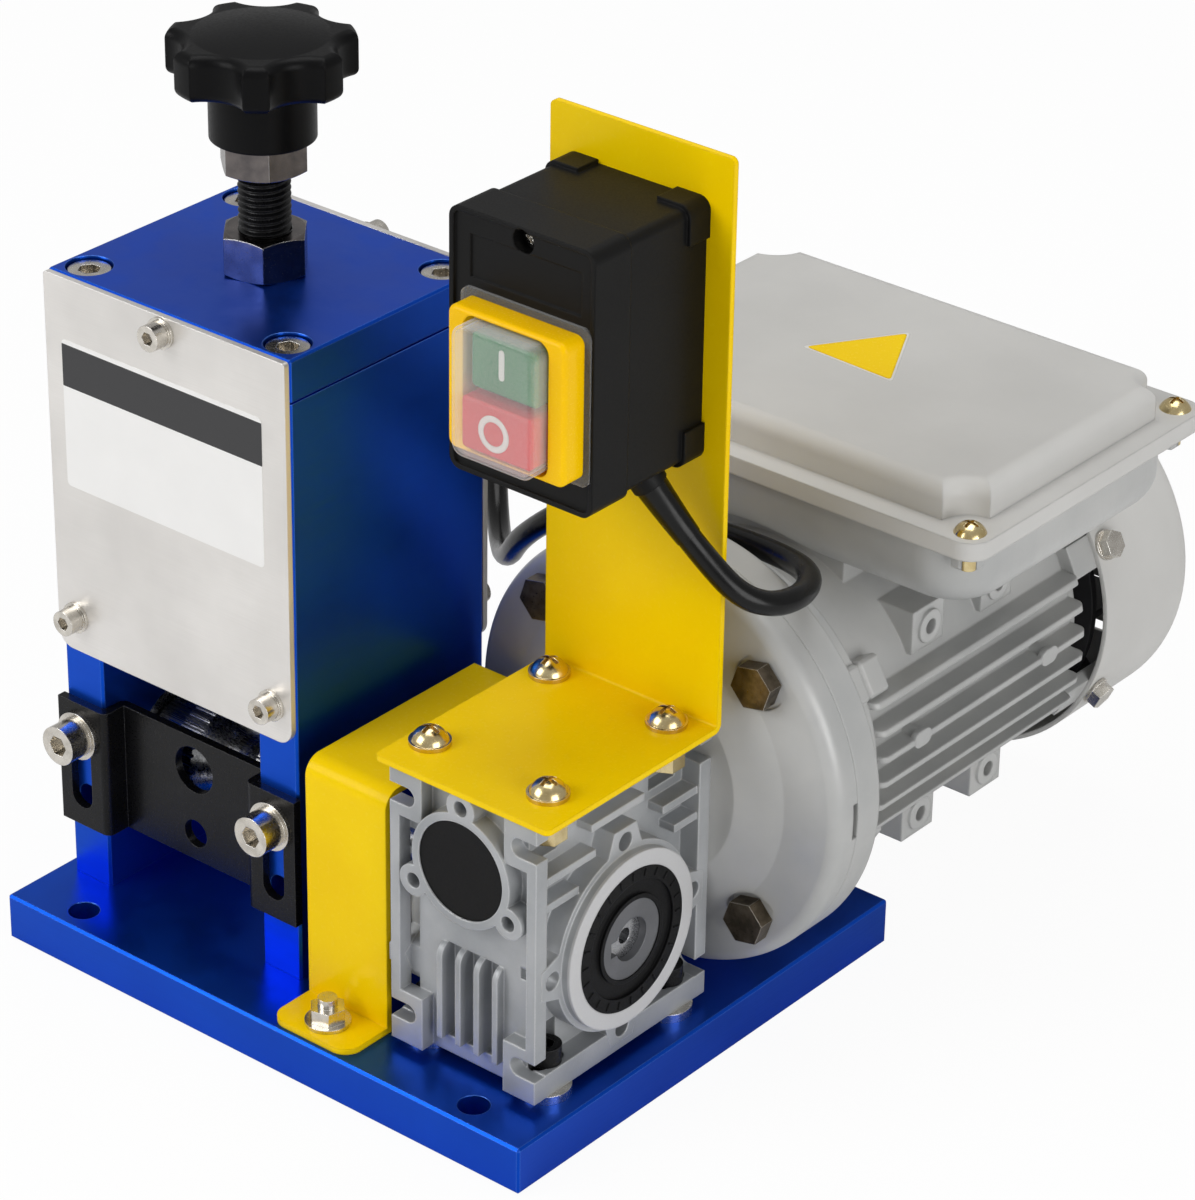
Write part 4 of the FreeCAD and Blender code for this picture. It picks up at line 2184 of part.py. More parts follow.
NODES = {
    "base_plate": make_base_plate,
    "head_left_plate": lambda: make_side_plate(False),
    "head_right_plate": lambda: make_side_plate(True),
    "head_top_block": make_head_top_block,
    "head_screws": make_head_screws,
    "front_guard_plate": lambda: make_guard_plate(True),
    "rear_guard_plate": lambda: make_guard_plate(False),
    "guard_screws": make_guard_screws,
    "guide_plate": make_guide_plate,
    "guide_screws": make_guide_screws,
    "carriage_rails": make_guide_rails,
    "blade_carriage": make_blade_carriage,
    "slitting_blade": make_slitting_blade,
    "blade_pin": make_blade_pin,
    "screw_retainer": make_screw_retainer,
    "adjusting_screw": make_adjusting_screw,
    "adjusting_knob": make_adjusting_knob,
    "knob_nut": make_knob_nut,
    "jam_nut": make_jam_nut,
    "gearbox_housing": make_gearbox_housing,
    "gearbox_side_cover": make_gearbox_side_cover,
    "drive_bearings": make_drive_bearings,
    "gearbox_seals": make_gearbox_seals,
    "worm_wheel_hub": make_worm_wheel_hub,
    "worm_wheel_rim": make_worm_wheel_rim,
    "worm_shaft": make_worm_shaft,
    "output_shaft": make_output_shaft,
    "shaft_key": make_shaft_key,
    "feed_roller": make_feed_roller,
    "foot_spacers": make_foot_spacers,
    "gearbox_bolts": make_gearbox_bolts,
    "shaft_cover": make_shaft_cover,
    "cover_nut": make_cover_nuts,
    "flange_adapter": make_flange_adapter,
    "flange_bolts": make_flange_bolts,
    "motor_front_shield": make_motor_front_shield,
    "motor_frame": make_motor_frame,
    "stator": make_stator,
    "rotor": make_rotor,
    "motor_bearings": make_motor_bearings,
    "motor_rear_shield": make_motor_rear_shield,
    "cooling_fan": make_cooling_fan,
    "fan_cover": make_fan_cover,
    "fan_cover_screws": make_fan_cover_screws,
    "terminal_box": make_terminal_box,
    "terminal_box_lid": make_terminal_box_lid,
    "terminal_lid_screws": make_terminal_lid_screws,
    "cable_glands": make_cable_glands,
    "terminal_block": make_terminal_block,
    "run_capacitor": make_run_capacitor,
    "switch_bracket": make_switch_bracket,
    "bracket_screws": make_bracket_screws,
    "switch_box": make_switch_box,
    "box_screw": make_box_screw,
    "switch_bezel": make_switch_bezel,
    "clear_cap": make_clear_cap,
    "start_button": make_start_button,
    "stop_button": make_stop_button,
    "switch_core": make_switch_core,
    "switch_cable": make_switch_cable,
}


def main():
    os.makedirs("parts", exist_ok=True)
    for name, make in NODES.items():
        make().exportStep(os.path.join("parts", name + ".step"))


main()
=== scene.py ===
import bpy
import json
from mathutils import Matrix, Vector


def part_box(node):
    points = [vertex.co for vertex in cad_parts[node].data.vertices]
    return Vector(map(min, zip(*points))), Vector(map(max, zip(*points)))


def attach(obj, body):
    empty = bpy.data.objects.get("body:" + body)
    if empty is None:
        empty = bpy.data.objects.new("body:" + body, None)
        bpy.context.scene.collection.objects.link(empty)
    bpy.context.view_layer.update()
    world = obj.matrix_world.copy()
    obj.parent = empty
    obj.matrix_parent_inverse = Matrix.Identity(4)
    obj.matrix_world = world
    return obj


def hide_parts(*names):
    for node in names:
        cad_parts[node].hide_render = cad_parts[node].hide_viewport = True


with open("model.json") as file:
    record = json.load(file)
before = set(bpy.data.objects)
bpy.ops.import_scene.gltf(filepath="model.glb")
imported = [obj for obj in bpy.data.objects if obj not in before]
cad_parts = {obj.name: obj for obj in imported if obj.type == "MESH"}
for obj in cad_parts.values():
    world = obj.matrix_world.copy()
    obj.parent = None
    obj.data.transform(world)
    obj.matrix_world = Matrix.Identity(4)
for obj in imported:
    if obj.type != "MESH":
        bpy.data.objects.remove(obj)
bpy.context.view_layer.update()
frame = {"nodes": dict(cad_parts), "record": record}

import json
import logging
import math
from contextlib import contextmanager
from dataclasses import dataclass
from enum import Enum
from typing import Iterator, Sequence

import bpy
from mathutils import Matrix, Quaternion, Vector

Piece = bpy.types.Object
NodeSocket = bpy.types.NodeSocket
NodeTree = bpy.types.ShaderNodeTree
Triple = tuple[float, float, float]
Span = tuple[float, float]
MM = 0.001
ALIGNED = 0.99  # the share of its length that an edge along an axis runs
log = logging.getLogger("wire_stripper")


def mm(x: float, y: float, z: float) -> Vector:
    """A point given in millimetres, as Blender's metres."""
    return Vector((x, y, z)) * MM


def srgb(red: int, green: int, blue: int) -> Triple:
    """A screen colour, 0 to 255 a channel, as the linear colour that shaders take.

    Args:
        red: Red channel.
        green: Green channel.
        blue: Blue channel.

    Returns:
        The three linear channels, 0 to 1.
    """
    linear = []
    for channel in (red, green, blue):
        share = channel / 255
        linear.append(share / 12.92 if share <= 0.04045 else ((share + 0.055) / 1.055) ** 2.4)
    return linear[0], linear[1], linear[2]


class Axis(Enum):
    """The three directions of the machine's frame."""

    X = 0
    Y = 1
    Z = 2


class Socket(Enum):
    """Kinds of socket that a shader node group can have."""

    NUMBER = "NodeSocketFloat"
    VECTOR = "NodeSocketVector"


# Modelling


def take(piece: Piece) -> None:
    """Makes one piece the only selected and active one.

    Args:
        piece: The piece.
    """
    bpy.ops.object.select_all(action="DESELECT")
    piece.hide_set(False)
    piece.select_set(True)
    bpy.context.view_layer.objects.active = piece


def settle(piece: Piece) -> None:
    """Moves a piece's place and turn into its mesh, so that its object sits at the origin."""
    take(piece)
    bpy.ops.object.transform_apply(location=True, rotation=True, scale=True)


def added(name: str) -> Piece:
    """Names the primitive that was just added.

    Args:
        name: Its name.

    Returns:
        The primitive.
    """
    piece = bpy.context.active_object
    piece.name = name
    piece.data.name = name
    return piece


def linked(name: str, data: bpy.types.ID) -> Piece:
    """Puts new data into the scene.

    Args:
        name: The object's name.
        data: A mesh, curve, lamp or camera.

    Returns:
        The new object.
    """
    piece = bpy.data.objects.new(name, data)
    bpy.context.scene.collection.objects.link(piece)
    return piece


@contextmanager
def editing() -> Iterator[None]:
    """Opens the active piece's mesh, all of it selected, and closes it afterwards.

    Yields:
        Nothing.
    """
    bpy.ops.object.mode_set(mode="EDIT")
    bpy.ops.mesh.select_all(action="SELECT")
    yield
    bpy.ops.object.mode_set(mode="OBJECT")


def face_outwards() -> None:
    """Turns every face of the mesh that is being edited outwards."""
    bpy.ops.mesh.select_all(action="SELECT")
    bpy.ops.mesh.normals_make_consistent(inside=False)


def apply_modifiers(piece: Piece) -> None:
    """Applies every modifier on a piece, in order.

    Args:
        piece: The piece.
    """
    take(piece)
    for modifier in list(piece.modifiers):
        bpy.ops.object.modifier_apply(modifier=modifier.name)


def smooth(piece: Piece, angle: float = 35.0) -> None:
    """Shades a piece smooth across edges that turn by less than an angle in degrees."""
    take(piece)
    bpy.ops.object.shade_smooth_by_angle(angle=math.radians(angle))


def block(name: str, low: Vector, high: Vector) -> Piece:
    """Adds a block between two corners.

    Args:
        name: The piece's name.
        low: Lowest corner in metres.
        high: Highest corner in metres.

    Returns:
        The new piece, at the origin.
    """
    bpy.ops.mesh.primitive_cube_add(size=1, location=(low + high) / 2)
    piece = added(name)
    piece.scale = high - low
    settle(piece)
    return piece


def turned(name: str, foot: Vector, outline: Sequence[Span], sides: int) -> Piece:
    """Turns a solid as on a lathe: a disc is extruded and widened from station to station.

    Args:
        name: The piece's name.
        foot: The point on its axis that the stations are measured from.
        outline: Stations as (height, radius) pairs in metres.
        sides: Faces round the piece.

    Returns:
        The closed, turned piece.
    """
    here, width = outline[0]
    bpy.ops.mesh.primitive_circle_add(vertices=sides, radius=width, fill_type="NGON", location=(0, 0, here))
    piece = added(name)
    settle(piece)
    with editing():
        for along, radius in outline[1:]:
            bpy.ops.mesh.extrude_region_move(TRANSFORM_OT_translate={"value": (0, 0, along - here)})
            ratio = radius / width
            bpy.ops.transform.resize(value=(ratio, ratio, 1), center_override=(0, 0, along))
            here, width = along, radius
        face_outwards()
    piece.location = foot
    settle(piece)
    return piece


def round_through(piece: Piece, axis: Axis, radius: float, segments: int) -> None:
    """Rounds a plate's corner edges, which run through its thickness.

    Args:
        piece: The plate.
        axis: The direction of its thickness.
        radius: Corner radius in metres.
        segments: Faces across each corner.
    """
    take(piece)
    bpy.ops.object.mode_set(mode="EDIT")
    bpy.ops.mesh.select_mode(type="EDGE")
    bpy.ops.mesh.select_all(action="DESELECT")
    bpy.ops.object.mode_set(mode="OBJECT")
    for edge in piece.data.edges:
        first, last = (piece.data.vertices[index].co for index in edge.vertices)
        run = last - first
        edge.select = abs(run[axis.value]) > ALIGNED * run.length
    bpy.ops.object.mode_set(mode="EDIT")
    bpy.ops.mesh.bevel(offset=radius, segments=segments)
    bpy.ops.object.mode_set(mode="OBJECT")
    smooth(piece)


def spun_copies(piece: Piece, centre: Vector, axis: Axis, count: int) -> list[Piece]:
    """Copies a piece evenly round an axis, each copy with its own mesh.

    Args:
        piece: The first piece, which is kept.
        centre: A point on the axis.
        axis: The axis to go round.
        count: How many there are in all.

    Returns:
        The first piece and its copies.
    """
    found = [piece]
    for index in range(1, count):
        turn = Matrix.Rotation(2 * math.pi * index / count, 4, axis.name)
        copy = linked(f"{piece.name}_{index}", piece.data.copy())
        copy.data.transform(Matrix.Translation(centre) @ turn @ Matrix.Translation(-centre))
        found.append(copy)
    return found


def join(pieces: Sequence[Piece], name: str) -> Piece:
    """Joins several pieces into one mesh.

    Args:
        pieces: The pieces to join.
        name: The joined piece's name.

    Returns:
        The joined piece.
    """
    take(pieces[0])
    for piece in pieces:
        piece.select_set(True)
    bpy.ops.object.join()
    return added(name)


# Shader node groups that several finishes share

EDGE_GAIN = 12.0  # how fast the mask rises as an edge gets sharper
MASK_SPAN: Span = (0.35, 0.65)  # where a slow mask drifts from one colour to the other
NOISE_SPAN: Span = (0.3, 0.7)  # where most of a noise's values lie
FULL_SPAN: Span = (0.0, 1.0)
STREAK_TINT = 0.35  # how much of the second colour a brushed line takes
GRAIN_STRENGTH = 0.6
COAT_ROUGHNESS = 0.06
FILM_DEPTH = 0.00001  # depth of the ripple in a film or the clear cap, in metres


class Wiring:
    """Adds and links nodes in one node tree."""

    def __init__(self, tree: bpy.types.NodeTree) -> None:
        """Takes the tree to work in."""
        self.tree = tree

    def node(self, kind: str, **settings: object) -> bpy.types.Node:
        """Adds a node.

        Args:
            kind: Blender's name for the kind of node.
            settings: Properties to set on it.

        Returns:
            The new node.
        """
        made = self.tree.nodes.new(kind)
        for name, value in settings.items():
            setattr(made, name, value)
        return made

    def link(self, source: NodeSocket, target: NodeSocket) -> None:
        """Links two sockets."""
        self.tree.links.new(source, target)

    def maths(self, operation: str, *values: NodeSocket | float) -> NodeSocket:
        """Adds a Math node.

        Args:
            operation: Blender's name for the sum.
            values: Sockets or plain numbers, in order.

        Returns:
            Its output.
        """
        made = self.node("ShaderNodeMath", operation=operation)
        for index, value in enumerate(values):
            if isinstance(value, (int, float)):
                made.inputs[index].default_value = value
            else:
                self.link(value, made.inputs[index])
        return made.outputs[0]

    def spread(self, source: NodeSocket, span: Span, result: Span) -> NodeSocket:
        """Maps a value from one range to another and clamps it.

        Args:
            source: The value.
            span: The range that it is read in.
            result: The range that it is mapped to.

        Returns:
            The mapped value's socket.
        """
        made = self.node("ShaderNodeMapRange")
        for name, value in zip(("From Min", "From Max", "To Min", "To Max"), (*span, *result)):
            made.inputs[name].default_value = value
        self.link(source, made.inputs["Value"])
        return made.outputs["Result"]


def blank_tree(owner: bpy.types.World | bpy.types.Material) -> bpy.types.NodeTree:
    """Turns on a node tree and empties it.

    Args:
        owner: A new world or material.

    Returns:
        Its empty tree.
    """
    owner.use_nodes = True
    owner.node_tree.nodes.clear()
    return owner.node_tree


class GroupMaker(Wiring):
    """Builds one shader node group, socket by socket."""

    def __init__(self, name: str) -> None:
        """Starts an empty group.

        Args:
            name: Its name.
        """
        super().__init__(bpy.data.node_groups.new(name, "ShaderNodeTree"))
        self.inside = self.node("NodeGroupInput")
        self.outside = self.node("NodeGroupOutput")

    def takes(self, name: str, kind: Socket, default: float | Triple | None = None) -> NodeSocket:
        """Adds an input.

        Args:
            name: The socket's name.
            kind: What it carries.
            default: Its value where nothing is linked.

        Returns:
            The socket inside the group.
        """
        item = self.tree.interface.new_socket(name=name, in_out="INPUT", socket_type=kind.value)
        if default is not None:
            item.default_value = default
        return self.inside.outputs[name]

    def gives(self, name: str, kind: Socket, source: NodeSocket) -> None:
        """Adds an output.

        Args:
            name: The socket's name.
            kind: What it carries.
            source: The socket inside the group that feeds it.
        """
        self.tree.interface.new_socket(name=name, in_out="OUTPUT", socket_type=kind.value)
        self.link(source, self.outside.inputs[name])


def grain_group() -> NodeTree:
    """Two sizes of soft noise: a slow mask and a fine height.

    Returns:
        The group.
    """
    maker = GroupMaker("surface_grain")
    vector = maker.takes("Vector", Socket.VECTOR)
    slow = maker.takes("Slow Scale", Socket.NUMBER, 25.0)
    fine = maker.takes("Fine Scale", Socket.NUMBER, 1500.0)
    broad = maker.node("ShaderNodeTexNoise")
    broad.inputs["Detail"].default_value = 4.0
    maker.link(vector, broad.inputs["Vector"])
    maker.link(slow, broad.inputs["Scale"])
    small = maker.node("ShaderNodeTexNoise")
    small.inputs["Detail"].default_value = 3.0
    small.inputs["Roughness"].default_value = 0.6
    maker.link(vector, small.inputs["Vector"])
    maker.link(fine, small.inputs["Scale"])
    maker.gives("Mask", Socket.NUMBER, broad.outputs["Fac"])
    maker.gives("Height", Socket.NUMBER, small.outputs["Fac"])
    return maker.tree


def brush_group() -> NodeTree:
    """Long fine lines, as a brush, a belt or a milling cutter leaves them.

    Returns:
        The group.
    """
    maker = GroupMaker("brush_lines")
    vector = maker.takes("Vector", Socket.VECTOR)
    stretch = maker.takes("Stretch", Socket.VECTOR, (40.0, 40.0, 3000.0))
    scaled = maker.node("ShaderNodeVectorMath", operation="MULTIPLY")
    maker.link(vector, scaled.inputs[0])
    maker.link(stretch, scaled.inputs[1])
    lines = maker.node("ShaderNodeTexNoise")
    lines.inputs["Scale"].default_value = 1.0
    lines.inputs["Detail"].default_value = 5.0
    lines.inputs["Roughness"].default_value = 0.65
    maker.link(scaled.outputs[0], lines.inputs["Vector"])
    maker.gives("Lines", Socket.NUMBER, lines.outputs["Fac"])
    return maker.tree


def edge_group() -> NodeTree:
    """Softened edges: a rounded normal, and a mask that rises to 1 along edges to lighten them, partly as
    rubbed metal and partly as painted highlight.

    Returns:
        The group.
    """
    maker = GroupMaker("rounded_edges")
    radius = maker.takes("Radius", Socket.NUMBER, 0.0005)
    wear_and_highlight = maker.takes("Wear", Socket.NUMBER, 0.5)
    breakup = maker.takes("Breakup", Socket.NUMBER, 0.5)
    rounded = maker.node("ShaderNodeBevel", samples=4)
    maker.link(radius, rounded.inputs["Radius"])
    plain = maker.node("ShaderNodeNewGeometry")
    turn = maker.node("ShaderNodeVectorMath", operation="DOT_PRODUCT")
    maker.link(rounded.outputs[0], turn.inputs[0])
    maker.link(plain.outputs["Normal"], turn.inputs[1])
    bend = maker.maths("SUBTRACT", 1.0, turn.outputs["Value"])
    # Lightens edges, partly as rubbed metal and partly as painted highlight.
    bright = maker.maths("MULTIPLY", bend, maker.maths("MULTIPLY", wear_and_highlight, EDGE_GAIN))
    broken = maker.maths("MULTIPLY", bright, breakup)
    mask = maker.maths("MINIMUM", broken, 1.0)
    maker.gives("Mask", Socket.NUMBER, mask)
    maker.gives("Normal", Socket.VECTOR, rounded.outputs[0])
    return maker.tree


def band_group() -> NodeTree:
    """A mask that is 1 between two values.

    Returns:
        The group.
    """
    maker = GroupMaker("band_mask")
    value = maker.takes("Value", Socket.NUMBER)
    low = maker.takes("Low", Socket.NUMBER, 0.0)
    high = maker.takes("High", Socket.NUMBER, 1.0)
    above = maker.maths("GREATER_THAN", value, low)
    below = maker.maths("LESS_THAN", value, high)
    maker.gives("Mask", Socket.NUMBER, maker.maths("MULTIPLY", above, below))
    return maker.tree


class SharedGroups:
    """The node groups that the finishes place."""

    def __init__(self) -> None:
        """Builds each group once."""
        self.grain = grain_group()
        self.brush = brush_group()
        self.edges = edge_group()
        self.band = band_group()


# Finishes


class MaterialMaker(Wiring):
    """Wires one material's nodes."""

    def __init__(self, name: str, groups: SharedGroups) -> None:
        """Starts a material with a Principled shader and Object coordinates.

        Args:
            name: Its name.
            groups: The shared node groups.
        """
        self.material = bpy.data.materials.new(name)
        super().__init__(blank_tree(self.material))
        self.groups = groups
        self.surface = self.node("ShaderNodeBsdfPrincipled")
        output = self.node("ShaderNodeOutputMaterial")
        self.link(self.surface.outputs[0], output.inputs["Surface"])
        self.place = self.node("ShaderNodeTexCoord").outputs["Object"]

    def shared(self, group: NodeTree, **values: float | Triple) -> bpy.types.Node:
        """Places a shared group and sets its plain inputs.

        Args:
            group: The node group.
            values: Input values, with underscores for the spaces in their names.

        Returns:
            The placed node.
        """
        made = self.node("ShaderNodeGroup", node_tree=group)
        for name, value in values.items():
            made.inputs[name.replace("_", " ")].default_value = value
        if "Vector" in made.inputs:
            self.link(self.place, made.inputs["Vector"])
        return made

    def blend(self, mask: NodeSocket, low: Triple | NodeSocket, high: Triple | NodeSocket) -> NodeSocket:
        """Mixes two colours by a mask.

        Args:
            mask: 0 for the first colour, 1 for the second.
            low: A colour or a socket.
            high: A colour or a socket.

        Returns:
            The mixed colour's socket.
        """
        mix = self.node("ShaderNodeMix", data_type="RGBA")
        self.link(mask, mix.inputs["Factor"])
        for socket, value in ((mix.inputs[6], low), (mix.inputs[7], high)):
            if isinstance(value, tuple):
                socket.default_value = (*value, 1.0)
            else:
                self.link(value, socket)
        return mix.outputs[2]

    def bump(self, height: NodeSocket, depth: float, strength: float,
             under: NodeSocket | None = None) -> NodeSocket:
        """Adds a bump over another normal.

        Args:
            height: The height's socket, 0 to 1.
            depth: Depth in metres of a height of 1.
            strength: Share of the bump that shows.
            under: The normal below it.

        Returns:
            The bumped normal.
        """
        made = self.node("ShaderNodeBump")
        made.inputs["Distance"].default_value = depth
        made.inputs["Strength"].default_value = strength
        self.link(height, made.inputs["Height"])
        if under is not None:
            self.link(under, made.inputs["Normal"])
        return made.outputs[0]

    def coordinate(self, axis: Axis) -> NodeSocket:
        """Reads the Object coordinate along one axis.

        Args:
            axis: The axis.

        Returns:
            The coordinate's socket, in metres.
        """
        split = self.node("ShaderNodeSeparateXYZ")
        self.link(self.place, split.inputs[0])
        return split.outputs[axis.value]

    def feed(self, name: str, source: NodeSocket) -> None:
        """Links a socket to one of the shader's inputs."""
        self.link(source, self.surface.inputs[name])

    def plain(self, **values: float) -> None:
        """Sets plain values on the shader's sockets, with underscores for spaces."""
        for name, value in values.items():
            self.surface.inputs[name.replace("_", " ")].default_value = value


@dataclass(frozen=True)
class Finish:
    """A finish with a slow colour change, fine grain, softened edges and lighter edges, partly rubbed and
    partly painted highlight.

    Attributes:
        name: The material's name.
        colour: Main colour, linear.
        shade: The colour it drifts to.
        metallic: 0 for plastic or paint, 1 for bare metal.
        roughness: Lowest and highest roughness.
        grain: Fine grain scale per metre.
        depth: Grain depth in metres.
        edge: Edge rounding in metres.
        worn_and_highlit: Colour of the lighter edges, partly rubbed metal and partly painted highlight.
        wear_and_highlight: How much the edges lighten, partly from rubbing and partly as painted highlight.
        coat: Clear coat weight.
        gloss: Specular level of the surface itself, 0.5 for most.
        brush: Line scale along x, y and z where the metal is brushed.
        slow: Scale of the slow colour change per metre.
    """

    name: str
    colour: Triple
    shade: Triple
    metallic: float
    roughness: Span
    grain: float = 1500.0
    depth: float = 0.000004
    edge: float = 0.0004
    worn_and_highlit: Triple = (0.6, 0.6, 0.6)
    wear_and_highlight: float = 0.0
    coat: float = 0.0
    gloss: float = 0.5
    brush: Triple | None = None
    slow: float = 25.0

    def build(self, groups: SharedGroups) -> bpy.types.Material:
        """Makes the material.

        Args:
            groups: The shared node groups.

        Returns:
            The finished material.
        """
        maker = MaterialMaker(self.name, groups)
        grain = maker.shared(groups.grain, Slow_Scale=self.slow, Fine_Scale=self.grain)
        edges = maker.shared(groups.edges, Radius=self.edge, Wear=self.wear_and_highlight)
        maker.link(grain.outputs["Mask"], edges.inputs["Breakup"])
        drift = maker.spread(grain.outputs["Mask"], MASK_SPAN, FULL_SPAN)
        colour = maker.blend(drift, self.colour, self.shade)
        rough = grain.outputs["Height"]
        height = grain.outputs["Height"]
        if self.brush is not None:
            lines = maker.shared(groups.brush, Stretch=self.brush)
            streak = maker.spread(lines.outputs["Lines"], NOISE_SPAN, FULL_SPAN)
            colour = maker.blend(maker.maths("MULTIPLY", streak, STREAK_TINT), colour, self.shade)
            rough = streak
            height = lines.outputs["Lines"]
        # Lighter edges: partly rubbed metal, partly painted highlight.
        if self.wear_and_highlight > 0:
            colour = maker.blend(edges.outputs["Mask"], colour, self.worn_and_highlit)
        self.tint(maker, colour)
        maker.feed("Roughness", maker.spread(rough, NOISE_SPAN, self.roughness))
        maker.feed("Normal", maker.bump(height, self.depth, GRAIN_STRENGTH, edges.outputs["Normal"]))
        maker.plain(Metallic=self.metallic, Specular_IOR_Level=self.gloss)
        maker.plain(Coat_Weight=self.coat, Coat_Roughness=COAT_ROUGHNESS)
        return maker.material

    def tint(self, maker: MaterialMaker, colour: NodeSocket) -> None:
        """Puts the colour on the shader."""
        maker.feed("Base Color", colour)


@dataclass(frozen=True)
class CastFinish(Finish):
    """A casting with brighter machined faces between two places along X.

    Attributes:
        machined_from: Where the machined faces start, in metres.
        machined_to: Where they end, in metres.
        machined: Their colour.
    """

    machined_from: float = 0.0
    machined_to: float = 0.0
    machined: Triple = (0.7, 0.7, 0.7)

    def tint(self, maker: MaterialMaker, colour: NodeSocket) -> None:
        """Mixes the machined colour in between the two places.

        Args:
            maker: The material's maker.
            colour: The casting's own colour.
        """
        band = maker.shared(maker.groups.band, Low=self.machined_from, High=self.machined_to)
        maker.link(maker.coordinate(Axis.X), band.inputs["Value"])
        maker.feed("Base Color", maker.blend(band.outputs["Mask"], colour, self.machined))


@dataclass(frozen=True)
class ClearFinish:
    """Clear soft plastic with faint streaks, whiter and less clear where it is seen at a slant: painted
    reflection along its edges.

    Attributes:
        name: The material's name.
        colour: Main tint, linear.
        streak: The tint that it drifts to.
        roughness: Its roughness.
        alpha_and_sheen: Alpha where it faces the viewer and where it is seen edge on; the higher alpha edge
            on is painted reflection.
        facing: The span of the facing value that the alpha follows.
    """

    name: str
    colour: Triple
    streak: Triple
    roughness: float
    alpha_and_sheen: Span = (0.07, 0.5)
    facing: Span = (0.2, 1.0)

    def build(self, groups: SharedGroups) -> bpy.types.Material:
        """Makes the material.

        Args:
            groups: The shared node groups.

        Returns:
            The finished material.
        """
        maker = MaterialMaker(self.name, groups)
        grain = maker.shared(groups.grain, Slow_Scale=90.0, Fine_Scale=400.0)
        maker.feed("Base Color", maker.blend(grain.outputs["Mask"], self.colour, self.streak))
        maker.feed("Normal", maker.bump(grain.outputs["Height"], FILM_DEPTH, strength=0.3))
        # Alpha rises where the cap is seen at a slant, so its near-white tint paints a reflection there.
        slant = maker.node("ShaderNodeLayerWeight")
        slant.inputs["Blend"].default_value = 0.5
        maker.feed("Alpha", maker.spread(slant.outputs["Facing"], self.facing, self.alpha_and_sheen))
        maker.plain(Roughness=self.roughness)
        return maker.material


@dataclass(frozen=True)
class LabelFinish:
    """A plain vinyl label with a coloured band above one height.

    Attributes:
        name: The material's name.
        field: The label's colour.
        band: The band's colour.
        band_from: Where the band starts, in metres.
        band_to: Where it ends, in metres.
        paler: The field's other shade, as a share of its colour.
        roughness: Lowest and highest roughness.
    """

    name: str
    field: Triple
    band: Triple
    band_from: float
    band_to: float
    paler: float = 0.93
    roughness: Span = (0.28, 0.4)

    def build(self, groups: SharedGroups) -> bpy.types.Material:
        """Makes the material.

        Args:
            groups: The shared node groups.

        Returns:
            The finished material.
        """
        maker = MaterialMaker(self.name, groups)
        grain = maker.shared(groups.grain, Slow_Scale=60.0, Fine_Scale=900.0)
        band = maker.shared(groups.band, Low=self.band_from, High=self.band_to)
        maker.link(maker.coordinate(Axis.Z), band.inputs["Value"])
        red, green, blue = self.field
        paler = (self.paler * red, self.paler * green, self.paler * blue)
        field = maker.blend(grain.outputs["Mask"], self.field, paler)
        maker.feed("Base Color", maker.blend(band.outputs["Mask"], field, self.band))
        maker.feed("Roughness", maker.spread(grain.outputs["Height"], NOISE_SPAN, self.roughness))
        maker.feed("Normal", maker.bump(grain.outputs["Height"], FILM_DEPTH, strength=0.4))
        return maker.material


class Slot(Enum):
    """The record's material slots."""

    BLUE = "blue_anodised"
    STAINLESS = "stainless_sheet"
    ZINC = "zinc_steel"
    BRIGHT = "bright_steel"
    NICKEL = "nickel_steel"
    BLACK_STEEL = "black_steel"
    GROUND = "ground_steel"
    KNOB = "knob_plastic"
    YELLOW = "yellow_paint"
    CAST = "cast_aluminium"
    GREY = "grey_paint"
    SHEET = "grey_sheet"
    RUBBER = "black_rubber"
    BRONZE = "bronze"
    IRON = "iron"
    LAMINATION = "lamination"
    NYLON = "nylon"
    BLACK_PLASTIC = "black_plastic"
    YELLOW_PLASTIC = "yellow_plastic"
    GREEN = "green_plastic"
    RED = "red_plastic"
    CLEAR = "clear_plastic"
    WHITE = "white_plastic"
    SHEATH = "cable_sheath"


POLISHED = 0.0000003  # grain depth of plated screws and nuts, in metres
SPIGOT_FACE = (69.5 + 30.5) * MM  # the gearbox's middle and the reach of its turned face
SPIGOT_END = SPIGOT_FACE + 10.0 * MM
